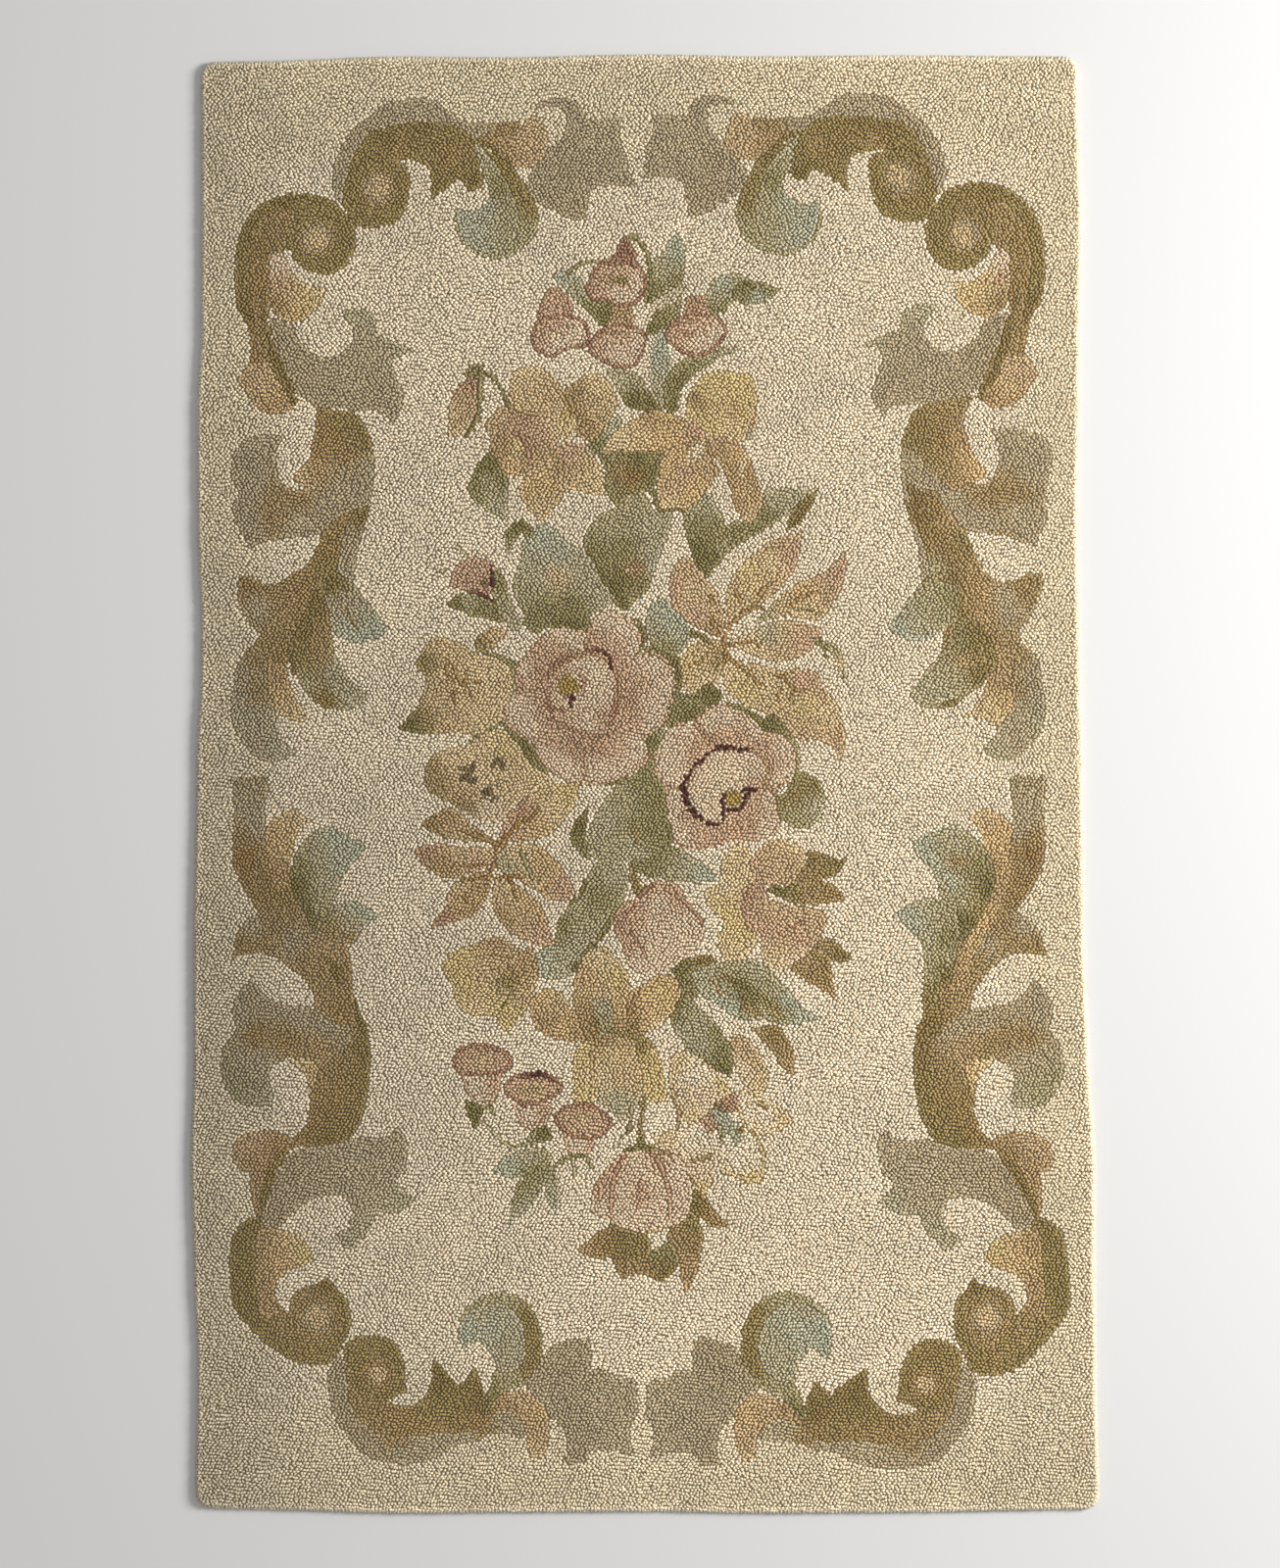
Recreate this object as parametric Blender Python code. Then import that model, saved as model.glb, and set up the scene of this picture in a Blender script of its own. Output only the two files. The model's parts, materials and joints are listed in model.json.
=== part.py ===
# Hooked rug with a scroll border, lying flat: one sheet of looped pile on its foundation cloth.
# Metres, +Z up. The origin is on the surface that the rug lies on, under the middle of the rug.
# +Y points to the end that is the top of the pattern.

import math

import bmesh
import bpy

MM = 0.001

# Driving sizes
LENGTH = 1.500
THICKNESS = 0.0085
CORNER_RADIUS = 0.015
RIM_ROUND = 0.0055
HEM_ROUND = 0.0012
RIM_FALL = 0.0014
RIM_REACH = 0.018
TROUGH_PLACE = 0.027
TROUGH_CUTS = (-0.014, 0.0, 0.014)
CUT_TOLERANCE = 1e-6
LEVEL_NORMAL = 0.9
CELLS_ACROSS = 28
CELLS_ALONG = 46
CORNER_STEPS = 5
RIM_STEPS = 4

# The cut outline, in millimetres from the middle. The rug flares a little towards its lower end.
SIDE_COLUMNS = ("along", "left", "right")
SIDE_ROWS = (
    (750, -458, 445),
    (560, -458, 449),
    (450, -458, 447),
    (410, -462, 447),
    (270, -462, 445),
    (170, -458, 447),
    (100, -459, 448),
    (30, -463, 450),
    (-180, -466, 452),
    (-290, -466, 457),
    (-390, -469, 463),
    (-500, -466, 463),
    (-600, -462, 464),
    (-750, -464, 467),
)
END_COLUMNS = ("across", "top", "bottom")
END_ROWS = (
    (-465, 743, -745),
    (-400, 744, -747),
    (-250, 749, -751),
    (-150, 748, -750),
    (0, 751, -749),
    (130, 749, -751),
    (250, 750, -750),
    (450, 749, -747),
)

# Soft low places and swellings in the pile, in millimetres: middle, reach each way, and rise.
UNEVEN_COLUMNS = ("across", "along", "reach_across", "reach_along", "rise")
UNEVEN_ROWS = (
    (330, 27, 260, 16, -0.9),
    (-120, 24, 330, 18, -0.5),
    (-300, 330, 150, 190, 0.5),
    (190, 420, 220, 120, -0.4),
    (60, -260, 240, 160, 0.5),
    (-390, 410, 60, 40, 0.6),
    (-400, 60, 60, 50, 0.6),
    (-250, -560, 180, 120, -0.4),
    (330, -420, 110, 200, 0.5),
)

PILE_COLOUR = (0.56, 0.47, 0.33, 1.0)
PILE_ROUGHNESS = 0.95


def make_collection(name):
    collection = bpy.data.collections.new(name)
    bpy.context.scene.collection.children.link(collection)
    return collection


def make_material(name, colour, roughness, metallic):
    material = bpy.data.materials.new(name)
    material.use_nodes = True
    shader = material.node_tree.nodes["Principled BSDF"]
    shader.inputs["Base Color"].default_value = colour
    shader.inputs["Roughness"].default_value = roughness
    shader.inputs["Metallic"].default_value = metallic
    return material


def read_along(rows, column_names, key, wanted, place):
    """Value of one column at a place between the rows, eased so that the edge has no kinks."""
    key_index = column_names.index(key)
    value_index = column_names.index(wanted)
    ordered = sorted(rows, key=lambda row: row[key_index])
    if place <= ordered[0][key_index]:
        return ordered[0][value_index]
    for before, after in zip(ordered, ordered[1:]):
        if place <= after[key_index]:
            share = (place - before[key_index]) / (after[key_index] - before[key_index])
            eased = share * share * (3 - 2 * share)
            return before[value_index] + eased * (after[value_index] - before[value_index])
    return ordered[-1][value_index]


def to_outline(across, along):
    """Place on the rug, in metres, of a point given as -1 to 1 across and along."""
    along_mm = along * LENGTH / 2 / MM
    left = read_along(SIDE_ROWS, SIDE_COLUMNS, "along", "left", along_mm)
    right = read_along(SIDE_ROWS, SIDE_COLUMNS, "along", "right", along_mm)
    across_mm = left + (right - left) * (across + 1) / 2
    top = read_along(END_ROWS, END_COLUMNS, "across", "top", across_mm)
    bottom = read_along(END_ROWS, END_COLUMNS, "across", "bottom", across_mm)
    end_mm = bottom + (top - bottom) * (along + 1) / 2
    return across_mm * MM, end_mm * MM


def rise_at(x, y):
    """Rise of the pile's top, in metres, from the soft low places and swellings."""
    total = 0.0
    for row in UNEVEN_ROWS:
        place = dict(zip(UNEVEN_COLUMNS, row))
        off_across = (x / MM - place["across"]) / place["reach_across"]
        off_along = (y / MM - place["along"]) / place["reach_along"]
        total += place["rise"] * math.exp(-off_across ** 2 - off_along ** 2)
    return total * MM


def distance_to_edge(x, y):
    """Distance in millimetres from a point in plan to the nearest side or end of the outline."""
    across_mm = x / MM
    along_mm = y / MM
    left = read_along(SIDE_ROWS, SIDE_COLUMNS, "along", "left", along_mm)
    right = read_along(SIDE_ROWS, SIDE_COLUMNS, "along", "right", along_mm)
    top = read_along(END_ROWS, END_COLUMNS, "across", "top", across_mm)
    bottom = read_along(END_ROWS, END_COLUMNS, "across", "bottom", across_mm)
    return max(min(across_mm - left, right - across_mm, top - along_mm, along_mm - bottom), 0.0)


def height_at(x, y, height):
    """Height of a point of the sheet: its share of the pile's rise, and of the fall at the rim."""
    share = height / THICKNESS
    rim_fall = RIM_FALL * math.exp(-distance_to_edge(x, y) * MM / RIM_REACH)
    return height + share * (rise_at(x, y) - rim_fall)


def cut_rows_beside_trough(mesh_data):
    """Close rows of points across the sheet, where the trough at mid-length is narrow."""
    for offset in TROUGH_CUTS:
        everything = mesh_data.verts[:] + mesh_data.edges[:] + mesh_data.faces[:]
        bmesh.ops.bisect_plane(
            mesh_data, geom=everything, dist=CUT_TOLERANCE,
            plane_co=(0, TROUGH_PLACE + offset, 0), plane_no=(0, 1, 0),
        )


def round_corners(mesh_data):
    """Plan corners: the four upright edges with only rim edges beside them."""
    corners = []
    for edge in mesh_data.edges:
        upright = abs(edge.verts[0].co.z - edge.verts[1].co.z) > THICKNESS / 2
        at_corner = all(len(vertex.link_edges) == 3 for vertex in edge.verts)
        if upright and at_corner:
            corners.append(edge)
    bmesh.ops.bevel(
        mesh_data, geom=corners, offset=CORNER_RADIUS, offset_type="OFFSET",
        segments=CORNER_STEPS, profile=0.5, affect="EDGES", material=-1,
    )


def round_rim(mesh_data, height, radius, steps):
    """The edge all round the sheet at one height, where a level face meets an upright one."""
    rim = []
    for edge in mesh_data.edges:
        at_height = all(abs(vertex.co.z - height) < MM / 100 for vertex in edge.verts)
        level_faces = [face for face in edge.link_faces if abs(face.normal.z) > LEVEL_NORMAL]
        if at_height and len(level_faces) == 1:
            rim.append(edge)
    bmesh.ops.bevel(
        mesh_data, geom=rim, offset=radius, offset_type="OFFSET",
        segments=steps, profile=0.5, affect="EDGES", material=-1,
    )


def make_rug(collection):
    """One closed flat sheet: grid in plan, given its outline, its thickness and a rounded rim."""
    mesh_data = bmesh.new()
    bmesh.ops.create_grid(mesh_data, x_segments=CELLS_ACROSS, y_segments=CELLS_ALONG, size=1.0)
    for vertex in mesh_data.verts:
        vertex.co.x, vertex.co.y = to_outline(vertex.co.x, vertex.co.y)
    cut_rows_beside_trough(mesh_data)
    raised = bmesh.ops.extrude_face_region(mesh_data, geom=mesh_data.faces[:])
    top_points = [item for item in raised["geom"] if isinstance(item, bmesh.types.BMVert)]
    for vertex in top_points:
        vertex.co.z = THICKNESS
    bmesh.ops.recalc_face_normals(mesh_data, faces=mesh_data.faces)

    round_corners(mesh_data)
    round_rim(mesh_data, THICKNESS, RIM_ROUND, RIM_STEPS)
    round_rim(mesh_data, 0.0, HEM_ROUND, 1)
    underside = [face for face in mesh_data.faces if face.calc_center_median().z < MM / 10]
    bmesh.ops.dissolve_faces(mesh_data, faces=underside)
    for vertex in mesh_data.verts:
        vertex.co.z = height_at(vertex.co.x, vertex.co.y, vertex.co.z)

    mesh = bpy.data.meshes.new("hooked_rug")
    mesh_data.to_mesh(mesh)
    mesh_data.free()
    rug = bpy.data.objects.new("hooked_rug", mesh)
    collection.objects.link(rug)
    mesh.materials.append(make_material("hooked_pile", PILE_COLOUR, PILE_ROUGHNESS, 0.0))
    mesh.shade_smooth()
    return rug


for old_object in list(bpy.data.objects):
    bpy.data.objects.remove(old_object, do_unlink=True)

rug_collection = make_collection("hooked_rug")
make_rug(rug_collection)
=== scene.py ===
import json
import math

import bmesh
import bpy
import numpy as np
from mathutils import Euler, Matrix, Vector
from mathutils.bvhtree import BVHTree

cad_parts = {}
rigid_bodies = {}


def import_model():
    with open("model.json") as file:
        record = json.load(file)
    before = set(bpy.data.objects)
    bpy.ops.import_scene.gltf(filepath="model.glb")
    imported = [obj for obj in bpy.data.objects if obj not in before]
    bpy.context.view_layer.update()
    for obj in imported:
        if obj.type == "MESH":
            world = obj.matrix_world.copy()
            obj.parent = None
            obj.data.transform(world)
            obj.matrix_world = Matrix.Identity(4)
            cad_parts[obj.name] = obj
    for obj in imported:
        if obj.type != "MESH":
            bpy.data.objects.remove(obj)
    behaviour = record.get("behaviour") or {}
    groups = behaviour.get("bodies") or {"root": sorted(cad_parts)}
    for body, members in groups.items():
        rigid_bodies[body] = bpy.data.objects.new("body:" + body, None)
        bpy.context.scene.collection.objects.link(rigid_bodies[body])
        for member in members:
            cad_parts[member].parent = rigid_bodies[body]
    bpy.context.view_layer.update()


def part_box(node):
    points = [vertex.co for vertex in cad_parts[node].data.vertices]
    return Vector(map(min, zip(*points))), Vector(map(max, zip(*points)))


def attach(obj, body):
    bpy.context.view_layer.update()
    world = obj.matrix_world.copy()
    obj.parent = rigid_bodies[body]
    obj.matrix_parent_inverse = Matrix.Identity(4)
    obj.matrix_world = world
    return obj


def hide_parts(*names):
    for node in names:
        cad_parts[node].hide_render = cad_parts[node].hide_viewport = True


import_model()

# A hooked rug: wool loops pulled through a foundation cloth, with scrolls round a bouquet.
# The pattern is drawn in millimetres from the rug's middle, x to the right and y to the top.

rugLow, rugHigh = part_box("hooked_rug")
toMetres = 0.001
print("frame loaded")

# Colours of the dyed wool, red, green and blue from 0 to 255 as the eye sees them
yarnTones = {
    "cream": (190, 178, 156),
    "oatmeal": (187, 175, 150),
    "paleCream": (184, 168, 142),
    "grey": (152, 139, 113),
    "mauve": (150, 136, 109),
    "stone": (156, 143, 116),
    "olive": (131, 115, 73),
    "oliveDark": (121, 104, 63),
    "brown": (139, 117, 77),
    "umber": (142, 122, 85),
    "rust": (134, 106, 64),
    "tan": (171, 151, 116),
    "eye": (172, 153, 116),
    "peach": (166, 144, 112),
    "orange": (171, 148, 108),
    "copper": (153, 130, 94),
    "yellow": (175, 157, 113),
    "straw": (179, 161, 126),
    "heart": (150, 125, 64),
    "blue": (153, 151, 130),
    "sage": (155, 146, 119),
    "leaf": (150, 140, 108),
    "moss": (129, 119, 81),
    "mossDark": (109, 99, 59),
    "rosePale": (181, 164, 141),
    "rose": (167, 141, 115),
    "roseDeep": (154, 126, 100),
    "rosewood": (136, 104, 81),
    "maroon": (68, 31, 28),
    "plum": (106, 89, 62),
}


def toneOf(name):
    return np.array(yarnTones[name], float)


def toLinear(tones):
    share = np.clip(tones / 255.0, 0, 1)
    return np.where(share <= 0.04045, share / 12.92, ((share + 0.055) / 1.055) ** 2.4)


def easeCurve(points, closed, step=2.0):
    # Smooth curve through the points, with a corner at each that ends in "!". A half width eases along.
    # Points are a list, or words such as "-118,695! -104,703" or "12,384,5 16,415,12"
    words = points.split() if isinstance(points, str) else []
    sharp = [word.endswith("!") for word in words] or [False] * len(points)
    spots = np.array([[float(v) for v in word.strip("!").split(",")] for word in words] or points, float)
    count = len(spots)
    made = []
    for i in range(count if closed else count - 1):
        here = spots[i]
        there = spots[(i + 1) % count]
        before = spots[i - 1] if closed or i > 0 else here
        after = spots[(i + 2) % count] if closed or i + 2 < count else there
        leave = there - here if sharp[i] else (there - before) / 2
        arrive = there - here if sharp[(i + 1) % count] else (after - here) / 2
        parts = max(2, int(np.hypot(*(there - here)[:2]) / step))
        t = (np.arange(parts) / parts)[:, None]
        made.append(
            (2 * t**3 - 3 * t**2 + 1) * here
            + (t**3 - 2 * t**2 + t) * leave
            + (3 * t**2 - 2 * t**3) * there
            + (t**3 - t**2) * arrive
        )
    if not closed:
        made.append(spots[-1:])
    return np.concatenate(made)


def nearestPlace(x, y, curve):
    # For each loop the nearest point of the curve and its distance
    best = np.full(len(x), 1e9)
    place = np.zeros(len(x), int)
    for i in range(len(curve)):
        away = (x - curve[i, 0]) ** 2 + (y - curve[i, 1]) ** 2
        closer = away < best
        best[closer] = away[closer]
        place[closer] = i
    return place, np.sqrt(best)


def headings(curve, closed):
    # Unit direction of the curve at each of its points
    if closed:
        steps = np.roll(curve[:, :2], -1, axis=0) - np.roll(curve[:, :2], 1, axis=0)
    else:
        steps = np.gradient(curve[:, :2], axis=0)
    return steps / np.maximum(np.hypot(steps[:, 0], steps[:, 1]), 1e-6)[:, None]


hookingSettings = {
    "rowBeside": 1.8,      # mm from an outline to the row of loops that follows it
    "furthestNudge": 1.6,  # mm by which a loop is moved towards that row
    "nudgeShare": 0.85,
    "finestLine": 1.6,     # mm, half the width of one row of loops
    "thinLine": 2.7,       # a line thinner than this is drawn together to one row
    "shadeHold": 25,       # square mm round a shade's spot that are its own
    "shadePower": 1.6,     # how fast one shade gives way to the next
    "strayReach": 3,       # mm by which loops of two shades mingle
}


class Ground:
    # The loops that a set of motifs may colour, in coordinates that can be mirrored
    def __init__(self, pile, x=None, y=None, allowed=None, mirror=(1, 1)):
        self.pile = pile
        self.x = pile["x"] if x is None else x
        self.y = pile["y"] if y is None else y
        self.allowed = np.ones(len(self.x), bool) if allowed is None else allowed
        self.mirror = mirror

    def within(self, curve, margin):
        low = curve[:, :2].min(0) - margin
        high = curve[:, :2].max(0) + margin
        inBox = (self.x > low[0]) & (self.x < high[0]) & (self.y > low[1]) & (self.y < high[1])
        return np.nonzero(inBox & self.allowed)[0]

    def dye(self, which, tones, direction):
        # New colour for these loops, which then lie along the direction
        self.pile["tone"][which] = tones
        along = direction * np.array(self.mirror)
        self.pile["turn"][which] = np.arctan2(along[:, 1], along[:, 0])

    def nudge(self, which, curve, place, gap, row):
        # Loops beside an outline stand in a row along it, at this distance
        away = np.stack((self.x[which], self.y[which]), axis=1) - curve[place, :2]
        away /= np.maximum(gap, 0.05)[:, None]
        furthest = hookingSettings["furthestNudge"]
        shift = away * np.clip(row - gap, -furthest, furthest)[:, None] * hookingSettings["nudgeShare"]
        self.pile["shift"][which] = shift * np.array(self.mirror)

    def patch(self, outline, shades, edge=None, edgeWidth=4.5):
        # A shape with a smooth outline; its shades, such as "-322,620,grey", run into each other
        if isinstance(shades, str):
            shades = [word.split(",") for word in shades.split()]
        curve = easeCurve(outline, True)
        near = self.within(curve, 3)
        x = self.x[near]
        y = self.y[near]
        inside = np.zeros(len(near), bool)
        for a, b in zip(curve, np.roll(curve, -1, axis=0)):
            if a[1] == b[1]:
                continue
            crosses = (a[1] > y) != (b[1] > y)
            inside ^= crosses & (x < a[0] + (y - a[1]) * (b[0] - a[0]) / (b[1] - a[1]))
        place, gap = nearestPlace(x, y, curve)
        row = hookingSettings["rowBeside"]
        beside = gap < row
        self.nudge(near[beside], curve, place[beside], gap[beside], row)
        near = near[inside]
        x = x[inside]
        y = y[inside]
        place = place[inside]
        gap = gap[inside]
        stray = self.pile["stray"][near]
        mingled = hookingSettings["strayReach"] * stray
        tones = np.zeros((len(near), 3))
        total = np.zeros(len(near))
        for shadeX, shadeY, name in shades:
            away = (x + mingled - float(shadeX)) ** 2 + (y - mingled - float(shadeY)) ** 2
            weight = 1 / (away + hookingSettings["shadeHold"]) ** hookingSettings["shadePower"]
            tones += weight[:, None] * toneOf(name)
            total += weight
        tones /= total[:, None]
        if edge:
            share = np.clip((edgeWidth - gap) / 1.5 + 0.5 + 0.4 * stray, 0, 1)[:, None]
            tones = tones * (1 - share) + toneOf(edge) * share
        self.dye(near, tones, headings(curve, True)[place])

    def stroke(self, route, left, right=None):
        # A band along a smooth route of "x,y,half width"; tones run from its start to its end
        curve = easeCurve(route, False)
        near = self.within(curve, curve[:, 2].max() + 2)
        place, gap = nearestPlace(self.x[near], self.y[near], curve)
        inside = gap <= np.maximum(curve[place, 2], hookingSettings["finestLine"])
        near = near[inside]
        place = place[inside]
        if curve[:, 2].max() < hookingSettings["thinLine"]:
            self.nudge(near, curve, place, gap[inside], 0.0)
        direction = headings(curve, False)[place]
        sideways = (self.x[near] - curve[place, 0]) * -direction[:, 1]
        sideways += (self.y[near] - curve[place, 1]) * direction[:, 0]
        stray = self.pile["stray"][near]
        across = np.clip(0.5 - 0.5 * sideways / np.maximum(curve[place, 2], 1) + 0.12 * stray, 0, 1)
        along = np.clip(place / max(len(curve) - 1, 1) + 0.06 * stray, 0, 1)
        tones = runTones(left, along)
        if right:
            tones = tones * (1 - across[:, None]) + runTones(right, along) * across[:, None]
        self.dye(near, tones, direction)

    def leaf(self, base, tip, wide, left, right=None):
        # A blade from base to tip, a little blunter at its base
        base = np.array(base, float)
        run = np.array(tip, float) - base
        rise = 0.75
        fall = 0.9
        peak = rise / (rise + fall)
        full = peak**rise * (1 - peak) ** fall
        route = []
        for t in np.linspace(0, 1, 9):
            spot = base + run * t
            route.append((spot[0], spot[1], 0.5 * wide * t**rise * (1 - t) ** fall / full))
        self.stroke(route, left, right)

    def spot(self, centre, reach, tones):
        # A round or oval spot; tones run from its middle to its rim
        x = (self.x - centre[0]) / reach[0]
        y = (self.y - centre[1]) / reach[1]
        away = np.hypot(x, y) + 0.08 * self.pile["stray"]
        near = np.nonzero((away < 1) & self.allowed)[0]
        direction = np.stack((-y[near], x[near]), axis=1)
        self.dye(near, runTones(tones, np.clip(away[near], 0, 1)), direction)


def runTones(names, share):
    # The tones in a row, at a share of the way from the first to the last
    names = names.split()
    stops = np.linspace(0, 1, max(len(names), 2))
    rows = np.array([toneOf(name) for name in (names if len(names) > 1 else names * 2)])
    return np.stack([np.interp(share, stops, rows[:, k]) for k in range(3)], axis=1)


def paintUpperScroll(ground):
    # One quarter of the frame of scrolls, as it stands at the top left
    # upper band: a grey strip outside an olive one that ends in two points
    ground.patch(
        "-314,596! -322,612 -320,640 -310,660 -300,675 -285,686 -272,697 -256,703 -220,703 -205,693 "
        "-192,684 -178,680 -130,681! -128,668 -142,656 -165,652 -190,650 -230,650 -270,645 -300,620",
        "-322,620,grey -308,662,mauve -286,688,mauve -245,692,stone -240,682,grey -210,686,grey "
        "-176,671,mauve -146,672,umber",
    )
    ground.patch(
        "-312,600 -308,622 -303,640 -296,656 -284,670 -266,675 -250,679 -225,681 -200,679 -189,673 "
        "-178,664! -166,650 -171,640 -168,620 -175,612 -182,609! -187,617 -193,623! -201,617 -210,609 "
        "-221,601! -221,620 -226,634 -240,642 -262,643! -246,634 -243,618 -246,597 -255,580 -275,573 "
        "-297,573! -306,583",
        "-292,655,olive -270,666,oliveDark -235,672,oliveDark -205,668,olive -230,655,olive "
        "-200,645,brown -212,622,olive -180,635,olive -178,620,oliveDark -250,652,brown -282,582,olive "
        "-250,600,olive -308,605,olive",
    )
    ground.spot((-276, 612), (28, 28), "eye eye mauve umber olive olive")
    ground.spot((-273, 616), (11, 10), "tan tan eye")
    ground.stroke("-304,626,1.8 -296,638,2.4 -283,645,2.4 -264,644,1.8", "oliveDark")
    # grey fleur and the tan lobe beside it
    ground.patch(
        "-118,695! -104,703 -85,705 -72,702 -64,692 -60,683 -42,685 -24,685! -27,664 -20,645 -18,628 "
        "-8,614! -45,615 -58,606 -62,579! -78,581 -95,589 -112,598 -124,608 -118,630 -108,645 -95,658! "
        "-84,668 -82,686 -90,696",
        "-60,665,stone -92,630,mauve -72,595,mauve -35,645,stone -35,675,stone -75,695,grey -112,612,grey "
        "-55,630,grey -98,605,mauve -40,622,grey",
    )
    ground.patch(
        "-176,664! -152,645 -138,636 -120,634 -107,642 -101,656 -104,674 -112,687! -124,683 -130,672 "
        "-142,665 -158,666",
        "-162,657,brown -150,652,copper -138,648,copper -120,648,peach -108,662,tan -113,680,tan "
        "-125,663,peach",
    )
    # drop with a hooked head, blue inside an olive rim
    ground.patch(
        "-180,663! -165,652 -140,638 -122,610 -111,585 -113,567 -125,552 -145,541 -165,541 -183,551 "
        "-195,568 -196,593! -185,589 -172,592 -162,600 -161,613 -167,625 -173,645",
        "-120,570,leaf -117,592,olive -132,622,olive -155,645,oliveDark -142,548,leaf -165,548,leaf",
    )
    ground.patch(
        "-178,661! -160,645 -146,625 -136,602 -131,580 -136,560 -150,548 -172,547 -188,560 -194,578 "
        "-196,593! -185,589 -172,592 -162,600 -161,613 -167,625 -173,645",
        "-186,575,blue -172,568,blue -162,592,blue -157,570,sage -147,574,leaf -146,592,leaf "
        "-152,612,moss -161,624,leaf -170,645,sage",
    )
    ground.stroke("-180,664,1.6 -163,657,2 -150,646,3 -136,632,2", "oliveDark")
    # side band: olive outside, brown inside, with its volute
    ground.patch(
        "-320,600! -350,607 -378,604 -400,593 -415,572 -422,545 -423,515 -420,490 -413,478 -408,462 "
        "-406,430! -388,428 -388,470 -387,500 -383,522 -374,545 -366,557! -362,541 -350,529 -331,522! "
        "-314,530 -301,547 -299,568 -304,581! -314,592",
        "-350,600,olive -390,590,olive -414,555,olive -418,515,olive -335,530,olive -306,555,olive "
        "-312,590,olive -414,485,oliveDark -370,598,oliveDark -402,455,brown",
    )
    ground.patch(
        "-378,590 -397,575 -407,550 -408,520 -405,490 -402,465 -399,432! -388,429 -388,470 -387,500 "
        "-383,522 -373,548 -358,578",
        "-380,578,umber -396,545,brown -397,510,brown -394,480,umber -380,540,umber -396,450,umber "
        "-366,578,umber",
    )
    ground.spot((-339, 561), (29, 28), "eye eye mauve umber olive olive")
    ground.spot((-337, 560), (10, 10), "tan tan eye")
    ground.patch(
        "-386,542! -374,546 -364,527 -350,514 -330,511! -333,496 -344,483 -358,475 -376,479 -387,498",
        "-346,500,yellow -360,484,orange -378,510,peach -334,505,straw -376,535,rosePale -366,512,tan "
        "-382,492,umber",
    )
    ground.stroke("-380,519,1.6 -375,513,1.6 -368,511,1.6 -363,514,1.4", "roseDeep")
    # side fleur, knob and the dark stem between them
    ground.patch(
        "-388,480! -367,473 -355,453 -340,441 -320,440 -307,450 -301,465 -313,487! -296,489 -279,480 "
        "-277,464 -262,456 -239,446! -260,436 -254,412 -250,392 -262,369! -270,382 -300,384 -338,386! "
        "-350,396 -362,404 -376,430",
        "-320,420,grey -280,402,mauve -350,418,mauve -276,447,stone -298,478,sage -262,385,grey "
        "-375,455,mauve -300,440,stone -320,395,mauve -250,447,sage",
    )
    ground.patch(
        "-408,433! -419,416 -409,398 -395,384 -378,380 -361,388! -366,405 -374,420 -386,434!",
        "-407,415,peach -392,386,copper -370,393,copper -392,424,peach -392,404,tan -382,398,orange",
    )
    ground.stroke(
        "-396,503,1.6 -392,480,2.4 -387,455,4 -381,435,5.5 -372,415,6 -365,402,4 -361,391,2",
        "oliveDark oliveDark",
    )
    # turned stem, the curl that rolls off it
    ground.patch(
        "-338,387! -318,384 -300,382 -288,366 -281,345 -280,315 -284,284! -303,282 -318,270 -332,258! "
        "-350,278 -346,300 -354,306 -362,318 -347,335 -341,360",
        "-336,372,brown -334,345,brown -338,322,copper -300,372,olive -288,350,olive -287,325,stone "
        "-310,312,mauve -322,290,mauve -298,298,grey -355,318,tan -318,350,brown -305,340,umber "
        "-314,374,olive",
    )
    ground.patch(
        "-371,357! -395,359 -413,354 -424,340 -427,318 -419,300 -425,283 -418,262 -407,242! -398,247 "
        "-380,252 -350,255 -328,258! -306,276 -318,295 -345,303 -362,302 -375,310 -380,326 -380,345",
        "-400,345,stone -412,325,grey -398,308,stone -385,296,umber -355,294,umber -328,287,mauve "
        "-412,262,grey -355,266,stone -408,285,grey -385,275,umber",
    )
    # trunk below them: a limb to the left, a grey strip to the right
    ground.patch(
        "-284,285! -290,265 -298,240 -301,215 -305,196 -326,196 -340,175 -358,150 -368,125 -382,110 "
        "-400,120 -401,145 -397,155! -408,165 -416,178 -420,195 -417,213! -407,212 -394,206 -378,206 "
        "-365,215 -350,225 -338,243 -330,262 -310,278",
        "-328,240,brown -345,210,brown -372,178,umber -392,140,umber -408,205,brown -398,183,stone "
        "-355,170,brown -320,222,olive -375,130,brown -385,195,umber -330,205,olive",
    )
    ground.patch(
        "-284,285! -290,265 -297,240 -300,215 -305,198 -318,204 -316,230 -311,256 -300,280",
        "-290,276,oliveDark -301,250,mauve -307,225,grey -310,208,grey",
    )
    ground.patch(
        "-419,127 -404,142 -392,135 -384,118 -384,95 -382,75 -376,50 -361,33! -368,27 -385,22 -400,27 "
        "-413,40 -424,57 -427,78 -424,102",
        "-412,112,mauve -398,128,umber -414,68,sage -400,45,stone -374,33,sage -396,95,umber -418,90,grey "
        "-394,70,stone",
    )
    # two leaves and a tan lobe that spring from the trunk
    ground.patch(
        "-326,222! -302,207 -290,190 -278,176 -266,160! -277,149 -298,145 -315,152 -327,162 -331,182",
        "-322,205,oliveDark -325,180,stone -310,156,blue -287,183,sage -274,160,blue -303,185,grey "
        "-292,153,blue",
    )
    ground.stroke("-312,182,1.6 -304,172,2.4 -297,162,1.6", "umber")
    ground.patch(
        "-343,200! -330,190 -324,160 -319,130 -305,108 -287,93! -293,82 -310,76 -330,78 -348,92 -362,115 "
        "-369,138 -358,160",
        "-340,180,oliveDark -352,158,oliveDark -361,132,olive -332,160,umber -338,130,umber -350,100,leaf "
        "-330,85,oliveDark -310,95,sage -314,118,sage -295,88,sage",
    )
    ground.stroke("-341,196,2 -350,172,3 -362,150,3 -366,132,3 -360,114,2", "oliveDark")
    ground.patch(
        "-389,128! -371,121 -366,100 -359,85 -344,66! -365,66 -380,75 -388,95",
        "-380,108,copper -372,92,orange -366,74,tan -352,70,straw",
    )


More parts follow.
